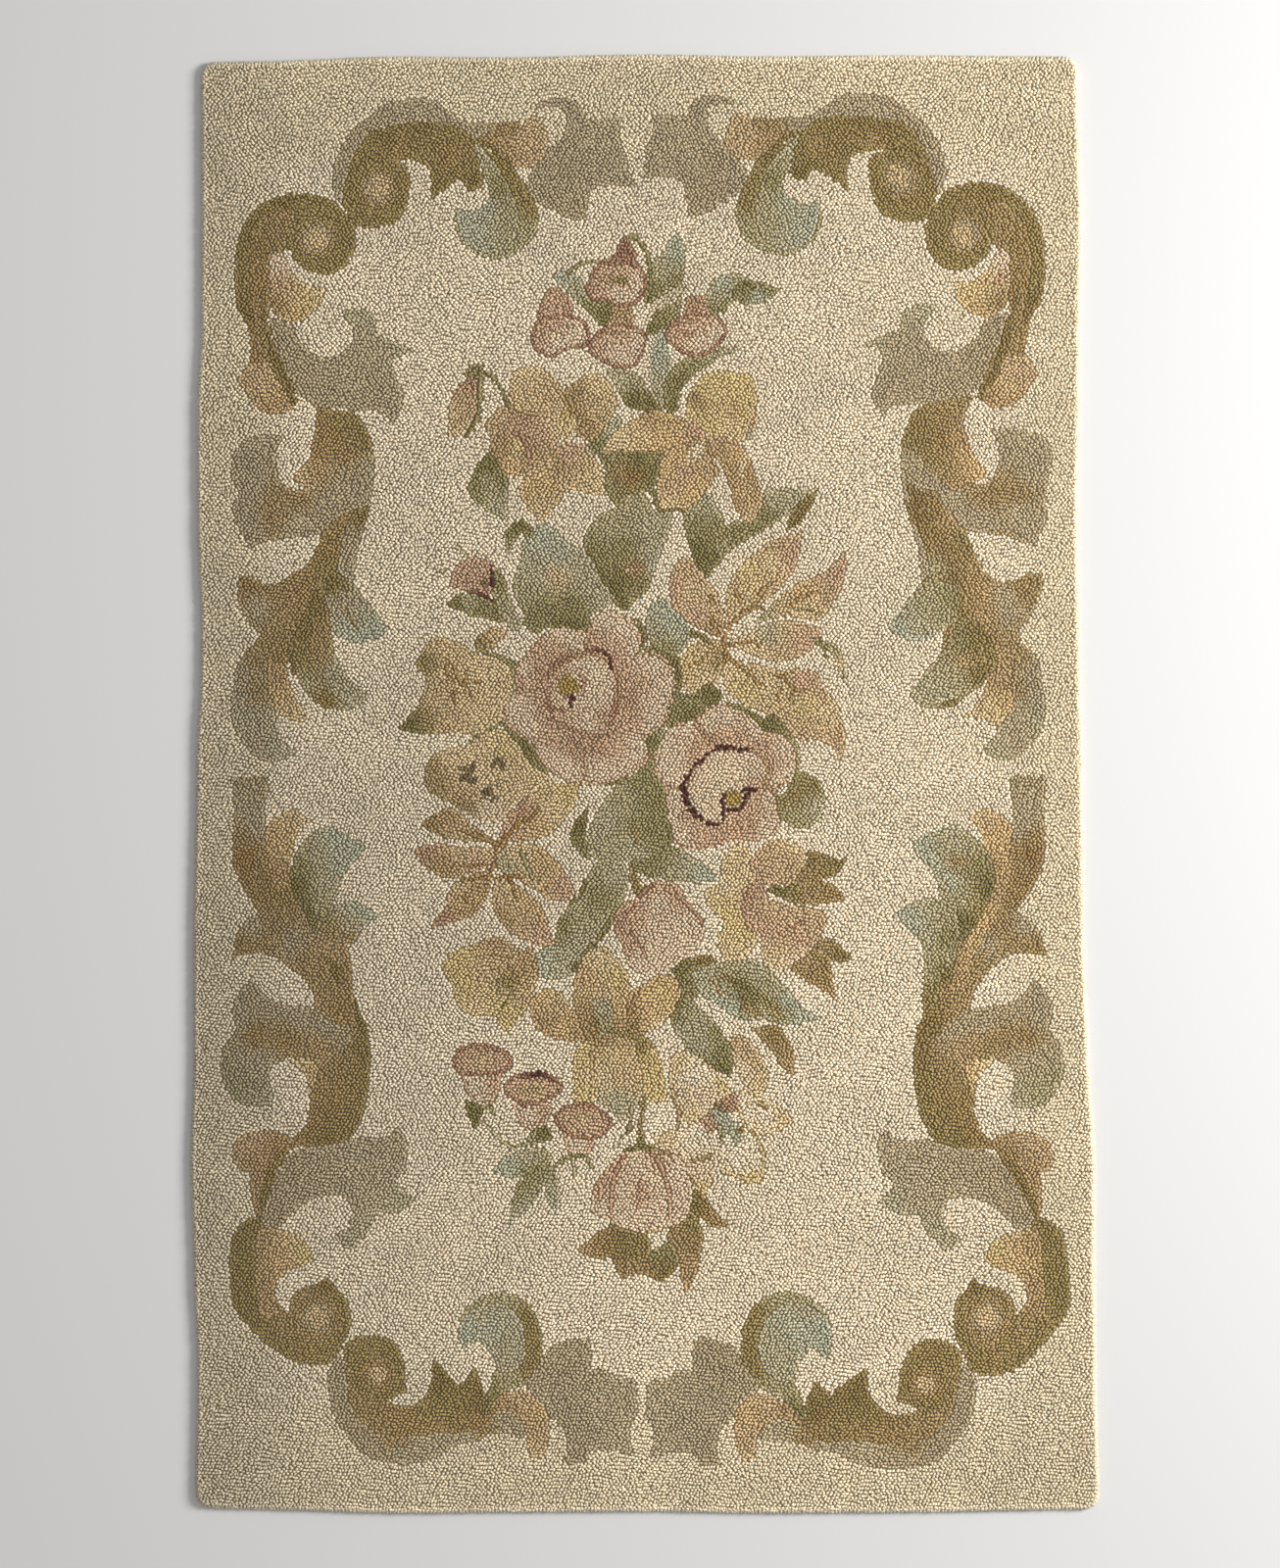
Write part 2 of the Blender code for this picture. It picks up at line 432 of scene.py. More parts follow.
def paintLowerScroll(ground):
    # The frame's lower quarter, as it stands at the bottom left
    # limb that comes down from the upper half, and its tan lobe
    ground.patch(
        "-424,20 -424,-20 -425,-60 -424,-85 -413,-110 -400,-128 -401,-134 -413,-141 -421,-155 -425,-178! "
        "-410,-175 -395,-174 -382,-178 -368,-187 -350,-203 -342,-216 -340,-232! -320,-250 -302,-262 "
        "-284,-280! -286,-258 -293,-238 -301,-218 -303,-195 -306,-172 -312,-155 -340,-150 -352,-130 "
        "-364,-105 -368,-85 -390,-60 -392,-30 -390,20",
        "-410,-30,stone -398,-45,stone -415,-60,umber -402,-80,umber -410,-75,rust -395,-110,brown "
        "-378,-120,brown -385,-145,umber -405,-148,stone -412,-168,brown -390,-163,umber -365,-165,mauve "
        "-350,-185,umber -330,-215,umber -318,-232,brown -330,-228,copper -310,-200,umber "
        "-320,-165,copper",
    )
    ground.stroke("-301,-222,1.8 -296,-238,4 -290,-256,5 -287,-278,3", "oliveDark")
    ground.patch("-334,-176! -322,-182 -312,-190 -311,-200 -317,-210! -322,-196", "-320,-192,oliveDark")
    ground.patch(
        "-391,-46 -379,-33 -362,-27 -346,-37! -358,-50 -364,-70 -366,-90 -372,-108 -385,-98 -390,-70",
        "-384,-60,orange -377,-88,copper -362,-38,tan -368,-60,orange -350,-36,straw",
    )
    # two leaves that spring from it
    ground.patch(
        "-342,-49 -330,-45 -317,-48 -302,-57 -288,-61! -294,-75 -304,-84 -314,-98 -318,-112 -325,-127 "
        "-333,-141 -340,-158! -349,-138 -360,-118 -366,-99 -364,-84 -359,-68 -351,-57",
        "-359,-85,moss -350,-65,leaf -358,-108,mossDark -346,-132,mossDark -335,-70,sage -320,-56,blue "
        "-300,-64,blue -312,-80,blue -330,-105,sage -336,-125,leaf",
    )
    ground.patch(
        "-338,-134 -320,-125 -300,-121 -288,-126 -274,-136! -285,-143 -294,-151 -303,-165 -320,-165 "
        "-335,-150",
        "-328,-137,moss -315,-130,stone -300,-127,blue -282,-135,blue -296,-148,sage -308,-145,stone "
        "-322,-152,umber -305,-158,umber",
    )
    # turned stem and the curl that rolls off it
    ground.patch(
        "-338,-234 -318,-246 -300,-250 -285,-268 -284,-290 -286,-315 -290,-336 -298,-355 -310,-369 "
        "-335,-372 -352,-374 -372,-374! -354,-356 -346,-338 -346,-320 -347,-300 -352,-280",
        "-290,-272,oliveDark -296,-300,olive -300,-330,olive -310,-360,olive -335,-300,umber "
        "-332,-325,brown -340,-350,brown -318,-285,umber -360,-371,brown -318,-262,mauve -312,-318,brown "
        "-325,-362,oliveDark",
    )
    ground.patch(
        "-405,-200! -416,-212 -424,-226 -425,-240 -421,-252 -431,-265 -437,-280 -438,-295 -432,-313 "
        "-420,-328 -402,-332 -385,-331! -384,-318 -388,-302 -384,-290 -373,-284 -360,-283 -350,-300 "
        "-344,-314 -330,-290 -312,-268 -318,-252 -330,-240 -346,-230 -366,-228 -386,-222 -399,-210",
        "-385,-232,mauve -410,-220,grey -413,-240,stone -400,-258,brown -370,-262,brown -330,-250,mauve "
        "-355,-243,grey -395,-285,stone -420,-285,stone -412,-318,leaf -395,-320,sage -338,-268,copper "
        "-355,-276,umber -425,-300,leaf",
    )
    ground.patch(
        "-366,-284 -350,-282 -338,-288 -338,-302 -345,-314! -350,-300 -358,-291",
        "-354,-286,straw -345,-298,orange -341,-290,orange",
    )
    # knob, dark stem and side fleur
    ground.patch(
        "-255,-354! -247,-365 -246,-385 -248,-400 -256,-406 -252,-416 -237,-428! -250,-437 -264,-443 "
        "-276,-440 -281,-451 -290,-465 -302,-478 -315,-475! -318,-464 -306,-455 -303,-440 -308,-426 "
        "-325,-423 -345,-428 -360,-438 -372,-450 -381,-459 -399,-456! -395,-440 -386,-415 -376,-395 "
        "-366,-380 -345,-373 -320,-370 -298,-364 -280,-364 -265,-363",
        "-340,-395,mauve -290,-385,grey -385,-435,mauve -300,-465,sage -250,-428,sage -258,-370,stone "
        "-385,-452,mauve -320,-412,grey -275,-420,stone -358,-412,mauve -270,-395,grey",
    )
    ground.patch(
        "-362,-366! -372,-360 -384,-356 -400,-357 -415,-362 -424,-372 -425,-386 -418,-397 -408,-401 "
        "-406,-420 -401,-448! -392,-430 -384,-405 -372,-385",
        "-415,-378,peach -400,-366,peach -395,-385,copper -378,-368,copper -402,-415,copper "
        "-376,-378,brown -405,-395,copper",
    )
    ground.stroke(
        "-366,-372,2 -375,-383,4.5 -384,-398,5.5 -391,-418,4.5 -397,-440,3 -400,-456,1.8",
        "brown oliveDark oliveDark",
    )
    # side band, volute and the tan lobe inside them
    ground.patch(
        "-400,-444! -413,-450 -423,-461 -427,-476 -428,-500 -427,-526 -419,-547 -405,-562 -386,-580 "
        "-365,-592 -345,-598 -326,-595 -312,-578! -305,-562 -304,-545 -308,-530 -317,-521 -328,-508! "
        "-340,-516 -355,-519 -365,-529 -366,-540 -360,-551! -370,-543 -380,-531 -388,-505 -388,-475 "
        "-392,-456",
        "-416,-470,olive -417,-500,olive -413,-530,olive -395,-560,olive -365,-583,olive -335,-588,olive "
        "-312,-560,olive -312,-540,olive -332,-518,oliveDark -355,-525,umber -410,-455,olive "
        "-372,-560,umber -345,-575,brown",
    )
    ground.patch(
        "-400,-462 -386,-458 -368,-461 -354,-468 -345,-480 -342,-488! -352,-496 -368,-501 -380,-512 "
        "-382,-528 -378,-541 -388,-549 -399,-540 -402,-500",
        "-380,-487,orange -354,-480,yellow -368,-467,tan -393,-520,copper -386,-540,copper "
        "-394,-475,copper -370,-494,orange",
    )
    ground.spot((-339, -549), (28, 28), "eye eye mauve umber umber olive")
    ground.spot((-337, -547), (10, 10), "tan tan eye")
    # lower band: a grey strip outside an olive one, and its ring
    ground.patch(
        "-318,-585! -327,-605 -326,-628 -321,-648 -312,-663 -300,-680 -285,-692 -266,-698 -240,-699 "
        "-221,-695 -208,-688 -197,-680 -178,-678 -164,-670 -148,-668 -124,-673! -124,-655 -140,-642 "
        "-165,-645 -200,-655 -250,-655 -290,-635 -302,-600",
        "-320,-610,grey -312,-650,mauve -285,-682,mauve -255,-690,grey -225,-680,stone -190,-672,grey "
        "-145,-656,stone -165,-662,umber -260,-675,umber",
    )
    ground.patch(
        "-312,-578! -300,-570 -285,-567 -268,-569 -255,-580 -249,-596 -248,-613 -246,-626! -256,-628 "
        "-268,-634! -255,-640 -240,-639 -228,-630 -222,-617 -219,-591! -211,-599 -203,-609 -193,-618! "
        "-185,-611 -178,-600! -172,-612 -168,-624 -163,-640 -158,-650! -168,-659 -184,-667 -212,-668 "
        "-240,-671 -266,-669 -288,-660 -303,-640 -308,-615",
        "-295,-585,olive -272,-578,olive -255,-600,olive -305,-610,umber -290,-640,umber -262,-655,umber "
        "-240,-652,brown -225,-640,olive -212,-615,oliveDark -200,-645,olive -178,-635,oliveDark "
        "-172,-655,brown -215,-662,brown",
    )
    ground.spot((-276, -608), (27, 26), "eye eye umber brown olive olive")
    ground.spot((-275, -607), (9, 9), "tan tan eye")
    # drop, blue inside an olive rim
    ground.patch(
        "-193,-560 -190,-547 -180,-535 -165,-526 -150,-523 -135,-526 -122,-535 -112,-550 -107,-570 "
        "-107,-590 -115,-605 -126,-618 -140,-623 -152,-630 -165,-648! -168,-636 -162,-622 -157,-608 "
        "-155,-596 -162,-583 -170,-575 -179,-575 -187,-582! -193,-573",
        "-118,-580,olive -122,-548,olive -145,-530,leaf -175,-538,leaf -138,-612,leaf -158,-632,moss "
        "-120,-600,olive",
    )
    ground.patch(
        "-193,-560 -187,-548 -172,-537 -155,-534 -136,-542 -126,-560 -124,-582 -130,-600 -148,-606 "
        "-156,-596 -162,-583 -170,-575 -179,-575 -187,-582! -193,-573",
        "-182,-562,blue -160,-560,blue -145,-575,sage -145,-595,sage -165,-543,sage",
    )
    ground.stroke("-167,-642,2 -160,-632,2.6 -152,-626,1.6", "mossDark")
    # tan lobe and grey fleur at the middle
    ground.patch(
        "-108,-592! -98,-578 -84,-573 -72,-570 -58,-571! -56,-590 -57,-602 -44,-602 -33,-608 -12,-613! "
        "-10,-630 -9,-648 -16,-662 -15,-680 -12,-690! -30,-687 -50,-685 -60,-690 -66,-698 -86,-699! "
        "-82,-688 -82,-672 -88,-660 -99,-650 -103,-640 -114,-630 -124,-621 -120,-610 -112,-600",
        "-80,-585,mauve -105,-605,mauve -90,-618,mauve -40,-622,stone -72,-690,mauve -50,-665,grey "
        "-25,-670,stone -100,-635,grey -60,-635,grey -25,-640,stone",
    )
    ground.patch(
        "-166,-652! -156,-634 -145,-626 -126,-624 -112,-632 -102,-645 -100,-665 -103,-685 -110,-695! "
        "-120,-690 -122,-672 -129,-655 -142,-645 -155,-646",
        "-150,-637,copper -132,-632,peach -112,-648,orange -110,-668,peach -111,-688,tan -160,-646,brown",
    )


def paintRightSide(ground):
    # What the right side's scrolls have of their own: turned stem and curl, trunk, leaves
    ground.patch(
        "266,326! 270,303 286,303 300,298 312,284 322,268 331,260 348,258 366,262 381,258 392,250 "
        "400,243! 405,258 412,275 411,292 414,318 418,335 414,350 400,361 374,359! 379,345 378,330 "
        "368,318 352,309 332,306 318,300 306,306 298,322 282,327",
        "278,316,mauve 308,292,grey 345,274,grey 342,298,umber 360,299,brown 385,303,umber 388,342,stone "
        "405,330,grey 385,274,stone 400,255,grey 320,280,grey 395,318,stone 366,310,umber 408,350,stone",
    )
    ground.patch(
        "280,388! 300,393 320,397 338,400! 329,383 327,365 333,350 340,334 350,322! 342,312 328,307 "
        "316,302 304,312 286,325 266,326 269,345 267,362 272,378",
        "285,372,olive 278,350,olive 303,380,brown 304,350,brown 319,380,umber 318,355,copper "
        "331,335,orange 336,322,orange 290,338,olive 276,332,stone 308,322,umber 320,314,copper "
        "326,392,umber",
    )
    ground.patch(
        "268,309! 283,302 297,300 308,284 318,270 328,259 336,240 345,223 354,208 372,206 390,210 "
        "406,217! 407,202 402,190 390,180 378,168 384,150 372,120 352,122 346,150 330,170 318,196 300,208 "
        "290,204 292,222 286,246 278,270 272,290",
        "274,299,oliveDark 284,275,oliveDark 296,222,leaf 300,280,brown 312,270,copper 328,250,olive "
        "300,250,brown 314,236,brown 334,216,copper 316,214,oliveDark 345,198,copper 388,206,brown "
        "368,192,stone 396,196,umber 350,172,copper 362,150,umber 330,182,brown 372,174,grey "
        "360,130,copper",
    )
    ground.patch(
        "318,205! 300,208 285,199 268,184 252,164! 264,157 284,154 304,159 318,168 322,186",
        "272,172,sage 262,164,blue 298,178,leaf 313,190,moss 294,197,leaf 285,160,sage 306,168,leaf",
    )
    ground.patch(
        "320,172! 313,148 300,130 288,117 277,98! 285,89 302,84 320,88 338,97 351,110 361,126 356,146 "
        "340,168",
        "288,99,sage 305,93,sage 310,118,leaf 338,152,oliveDark 350,130,olive 328,124,copper 325,104,leaf "
        "326,148,moss 342,112,oliveDark",
    )
    ground.patch(
        "356,60 350,72 344,84! 354,94 359,106 361,121! 372,120 380,104 378,84 370,68",
        "368,104,copper 364,86,orange 352,80,straw 372,116,copper",
    )
    # leaves that spring from the lower trunk
    ground.patch(
        "255,-136! 268,-125 285,-119 301,-118 316,-124 323,-138 322,-158 318,-180 314,-205! 303,-202 "
        "302,-228 306,-252! 294,-262 286,-250 285,-225 286,-198 285,-176 281,-160 270,-148",
        "262,-136,blue 275,-143,blue 290,-128,sage 306,-134,leaf 291,-165,sage 310,-160,moss "
        "306,-196,mossDark 293,-192,leaf 293,-222,olive 296,-248,oliveDark 302,-178,leaf",
    )
    ground.patch(
        "277,-62! 285,-52 300,-48 320,-48 338,-55 350,-68 357,-84 360,-102 357,-122 349,-138 336,-152 "
        "322,-162! 322,-140 318,-122 309,-102 298,-88 287,-75",
        "284,-61,blue 296,-80,blue 311,-99,blue 312,-56,sage 332,-62,leaf 319,-80,umber 306,-70,leaf "
        "341,-82,moss 350,-106,mossDark 345,-127,olive 329,-118,leaf 330,-145,mossDark 322,-62,sage",
    )
    ground.stroke(
        "367,-52,4 369,-80,6 365,-108,7 354,-134,7 340,-158,7 329,-182,6 322,-210,5",
        "orange copper orange copper",
    )
    ground.stroke(
        "286,-262,4 283,-282,5 287,-310,6 295,-334,7 306,-354,7 320,-366,4",
        "oliveDark olive olive",
    )


def paintFrame(pile):
    # The scrolls are hooked four times, mirrored, and the right side stands a little differently
    x = pile["x"]
    y = pile["y"]
    wander = 2.5 * np.sin(x / 83.0 + 1.0) * np.cos(y / 119.0)
    isLeft = x < -4
    isTop = y > 8
    upperLean = np.interp(y, [20, 300, 450, 560, 620, 700], [16, 18, 17, 11, 14, 18])
    upperRise = np.interp(y, [100, 200, 350, 480, 565, 620, 700], [0, 3, 9, 7, 3, 11, 5])
    sideLean = np.interp(
        y,
        [-690, -610, -545, -500, -430, -376, -290, -205, -170, -135, -60],
        [-10, -12, -13, -6, -2, 8, 9, 6, 14, 18, 15],
    )
    upperLean = upperLean + np.clip((200 - x) / 30, 0, 1) * np.interp(y, [640, 680], [6, 2])
    share = np.clip((np.abs(x) - 200) / 40, 0, 1)
    inner = np.clip((np.abs(x) - 110) / 40, 0, 1)
    lowerLean = sideLean * share + (9 - 6 * inner) * (1 - share)
    lowerDrop = np.interp(y, [-700, -605, -552, -500], [8, 12, 0, 0]) * inner
    paintUpperScroll(Ground(pile, None, None, isLeft & isTop, (1, 1)))
    paintLowerScroll(Ground(pile, None, None, isLeft & ~isTop, (1, 1)))
    paintUpperScroll(Ground(pile, -x - upperLean, y - upperRise + wander, ~isLeft & isTop, (-1, 1)))
    paintLowerScroll(Ground(pile, -x - lowerLean, y + lowerDrop + wander, ~isLeft & ~isTop, (-1, 1)))
    paintRightSide(Ground(pile, None, None, ~isLeft, (1, 1)))


def paintBells(ground):
    # Drooping bells and their leaves at the top of the bouquet
    ground.patch(
        "-97,522! -85,530 -68,520 -60,502 -45,499 -28,497! -28,472 -45,471 -62,487 -80,505",
        "-86,522,blue -70,508,sage -52,490,moss -38,483,mossDark",
    )
    ground.patch(
        "-2,496! -2,515 6,538 16,545 25,560 32,567! 38,555 40,530 35,514 22,506 10,498",
        "6,505,moss 30,514,moss 31,550,blue 20,532,sage 6,530,leaf",
    )
    ground.leaf((2, 486), (46, 514), 15, "paleCream sage")
    ground.leaf((0, 462), (40, 499), 18, "mossDark moss leaf")
    ground.patch(
        "59,498! 66,514 84,525 100,523 112,513 102,500 90,497 80,485 66,483 58,488",
        "82,518,blue 68,502,sage 74,487,moss 98,514,leaf",
    )
    ground.patch(
        "86,507! 95,515 110,517 138,509! 126,499 105,493 92,497",
        "105,513,mossDark 93,500,moss 116,500,blue 131,507,moss",
    )
    ground.stroke("12,384,5 16,415,12 15,445,9 15,468,2", "leaf sage blue blue")
    ground.stroke(
        "25,388,7 28,410,9 42,428,10 66,441,8 97,450,2",
        "moss moss leaf sage oatmeal",
        "mossDark mossDark moss leaf sage",
    )
    ground.patch(
        "-42,427! -26,427 -9,421 4,402 14,386! -3,383 -20,391 -33,412",
        "-25,415,sage -10,412,leaf -12,395,mossDark 5,389,mossDark",
    )
    ground.stroke("-80,527,2 -62,537,2 -38,538,2", "moss moss")
    ground.stroke("-22,561,2 -11,562,2.3 0,548,2.3 4,528,2.3 4,495,2", "moss mossDark")
    ground.patch("-22,564! -33,546 -38,534 -12,535 -14,552", "-24,545,rosewood")
    ground.patch("-112,478 -105,503 -98,511 -86,508 -76,484", "-96,492,rose", "roseDeep")
    ground.patch("-37,468 -34,492 -17,492 -14,470", "-26,482,copper -24,472,rose")
    ground.patch("40,477 43,503! 60,501! 64,478", "50,492,roseDeep 60,484,rose")
    # outline of the bell, its pale middle
    bells = [
        (
            "-62,505 -58,525 -45,537 -30,536 -15,537 -3,527 0,512 -5,500 -15,492 -28,490 -40,497 -55,497",
            (-30, 510),
        ),
        ("-119,458 -112,478 -95,483 -75,482 -60,472 -58,454 -70,448 -82,446 -98,438 -112,445", (-92, 462)),
        ("-59,452 -48,467 -30,474 -10,470 1,460 -2,445 -12,429 -28,427 -45,433 -57,443", (-30, 452)),
        ("19,460 30,478 50,485 72,481 84,468 78,455 65,443 50,439 32,446", (52, 463)),
    ]
    for outline, middle in bells:
        x, y = middle
        shades = [
            (x, y - 4, "rosePale"),
            (x - 20, y, "rose"),
            (x + 20, y + 3, "rosePale"),
            (x, y + 14, "rose"),
        ]
        ground.patch(outline, shades, "rosewood", 3.6)
        ground.stroke([(x - 18, y + 9, 1.8), (x - 2, y + 12, 1.8), (x + 16, y + 8, 1.8)], "roseDeep")
        ground.stroke([(x - 9, y + 1, 1.8), (x, y + 4, 1.8), (x + 10, y + 1, 1.8)], "rose")
    ground.stroke("-40,515,2 -30,519,3 -22,515,2", "olive")
    ground.stroke("32,468,2 42,464,3 50,462,2", "roseDeep")


def paintUpperFlowers(ground):
    # Yellow bloom, peach bud, star flower and orange lily
    ground.patch(
        "41,380! 44,400 58,419 75,424 92,423 108,420 114,400 112,380 102,355! 88,350 70,355 52,368",
        "60,412,yellow 95,412,yellow 108,392,yellow 76,388,tan 52,394,umber 50,380,yellow 85,362,straw "
        "88,384,orange 72,370,yellow 72,404,yellow",
    )
    ground.stroke("106,358,4 110,376,5 108,390,3", "sage tan tan")
    ground.patch(
        "-204,357! -203,378 -200,398 -190,412 -178,421 -171,405 -174,380 -184,361",
        "-200,362,straw -188,392,peach -178,410,roseDeep -195,380,tan",
    )
    ground.patch("-188,421! -180,431 -168,430 -166,414! -176,418", "-174,424,moss")
    ground.stroke("-170,422,2.4 -171,400,2.4 -173,380,2.4 -184,357,2", "moss mossDark")
    ground.stroke("-164,424,2 -152,412,2.2 -146,398,2.4 -139,384,2.4", "moss mossDark")
    # star flower
    ground.patch(
        "-140,386! -142,405 -136,424 -118,429 -100,423 -86,406 -76,384 -95,376 -120,380",
        "-125,418,straw -105,405,tan -125,392,tan -92,388,tan",
    )
    ground.patch(
        "-78,380! -87,398 -77,411 -60,421 -43,419 -31,400 -33,380 -45,363 -60,353 -74,362",
        "-52,408,straw -45,390,tan -72,400,umber -60,368,copper -72,382,copper -62,396,tan",
    )
    ground.patch(
        "-138,386 -150,387 -167,371! -160,358 -160,340 -150,325 -138,317 -118,318 -100,326 -92,348 "
        "-84,374 -100,383 -120,381",
        "-150,372,peach -150,345,copper -140,325,orange -118,338,copper -108,362,rose -95,370,straw "
        "-105,335,peach -125,372,roseDeep",
    )
    ground.stroke("-139,387,1.6 -120,381,2 -100,381,1.6", "umber copper")
    ground.stroke("-82,400,1.6 -73,384,2.2 -60,368,2 -50,360,1.6", "umber brown")
    ground.stroke("-128,321,1.8 -110,327,2 -95,338,2.2 -88,350,1.8", "copper brown")
    ground.stroke("-138,361,1.8 -127,357,2.4 -122,344,2.6 -119,330,1.8", "rosewood roseDeep")
    ground.leaf((-134, 356), (-132, 330), 14, "yellow tan")
    ground.patch(
        "-126,318! -130,300 -121,282 -104,267! -94,284 -84,300 -78,320 -92,336 -112,328",
        "-118,300,orange -104,276,straw -95,310,orange -110,322,tan -108,290,tan",
    )
    ground.patch(
        "-92,346! -72,352 -58,343 -47,325 -38,298! -55,297 -72,302 -88,300 -96,322",
        "-80,340,rose -60,330,tan -48,312,straw -78,312,tan -88,325,copper",
    )
    ground.leaf((-80, 386), (-84, 352), 20, "heart yellow straw tan")
    ground.stroke("-80,384,1.8 -70,375,1.8 -62,366,1.8", "roseDeep copper")
    # leaves under the star flower and the lily
    ground.patch(
        "-161,342! -176,324 -183,306 -173,287 -152,275 -143,270! -142,292 -143,315 -151,331",
        "-163,330,mossDark -178,308,moss -162,308,leaf -152,288,sage -150,315,moss",
    )
    ground.patch("-26,378! -36,376 -48,361 -61,350! -51,337 -40,350 -25,366", "-36,368,sage -52,348,moss")
    ground.patch(
        "-52,343! -20,343 24,343! 14,322 10,302 16,281! 6,298 -10,299 -22,294 -30,286! -40,300 -43,322",
        "-38,330,moss -10,332,mossDark -12,316,rust -30,322,umber 6,322,mossDark -34,300,moss 0,303,moss "
        "8,335,moss",
    )
    ground.patch(
        "36,283! 60,301 72,288 82,265! 95,271 106,262 90,245 75,226 62,212! 50,228 42,255",
        "50,285,leaf 66,290,sage 55,262,moss 52,238,mossDark 80,250,moss",
    )
    ground.patch(
        "61,212! 72,226 92,244 118,259 140,274 158,282 171,300! 150,304 124,304 116,288 98,268 78,250 "
        "64,235",
        "148,293,sage 128,296,sage 120,278,moss 95,256,moss 72,232,mossDark 72,245,leaf 110,270,moss",
    )
    ground.leaf((146, 262), (174, 302), 14, "oliveDark oliveDark olive")
    # orange lily
    ground.patch(
        "-46,343! -30,364 -10,376 6,384 30,379 50,371 64,354! 45,347 25,343 0,342 -25,342",
        "-28,355,straw -5,360,tan 8,374,copper 30,372,orange 50,360,rose 20,352,orange",
    )
    ground.patch(
        "62,357! 80,357 100,346 110,326 117,305 119,285 108,267! 97,274 90,290 85,308 78,326 67,342",
        "69,347,rose 78,340,copper 92,338,orange 102,300,orange 89,315,copper 112,318,copper 109,277,tan "
        "96,290,copper",
    )
    ground.patch(
        "20,343! 40,351 60,357! 66,340 71,318 63,303 51,291 38,283 14,281! 11,300 13,322",
        "26,300,peach 18,322,orange 40,321,rose 58,310,orange 25,287,straw 50,347,copper 44,298,orange "
        "63,325,peach 34,338,orange",
    )
    ground.stroke("44,358,1.6 54,355,2.2 63,356,2", "brown copper")
    ground.stroke("62,354,1.6 68,336,2 73,318,1.6", "brown copper")
    ground.leaf((42, 328), (60, 352), 14, "tan paleCream cream")
    ground.stroke("103,340,2 100,328,3 98,318,2", "straw paleCream straw")
    ground.stroke("14,282,2 26,281,2 38,282,2", "mossDark")
    ground.stroke("8,300,2.4 10,290,2.4 14,281,2", "mossDark")


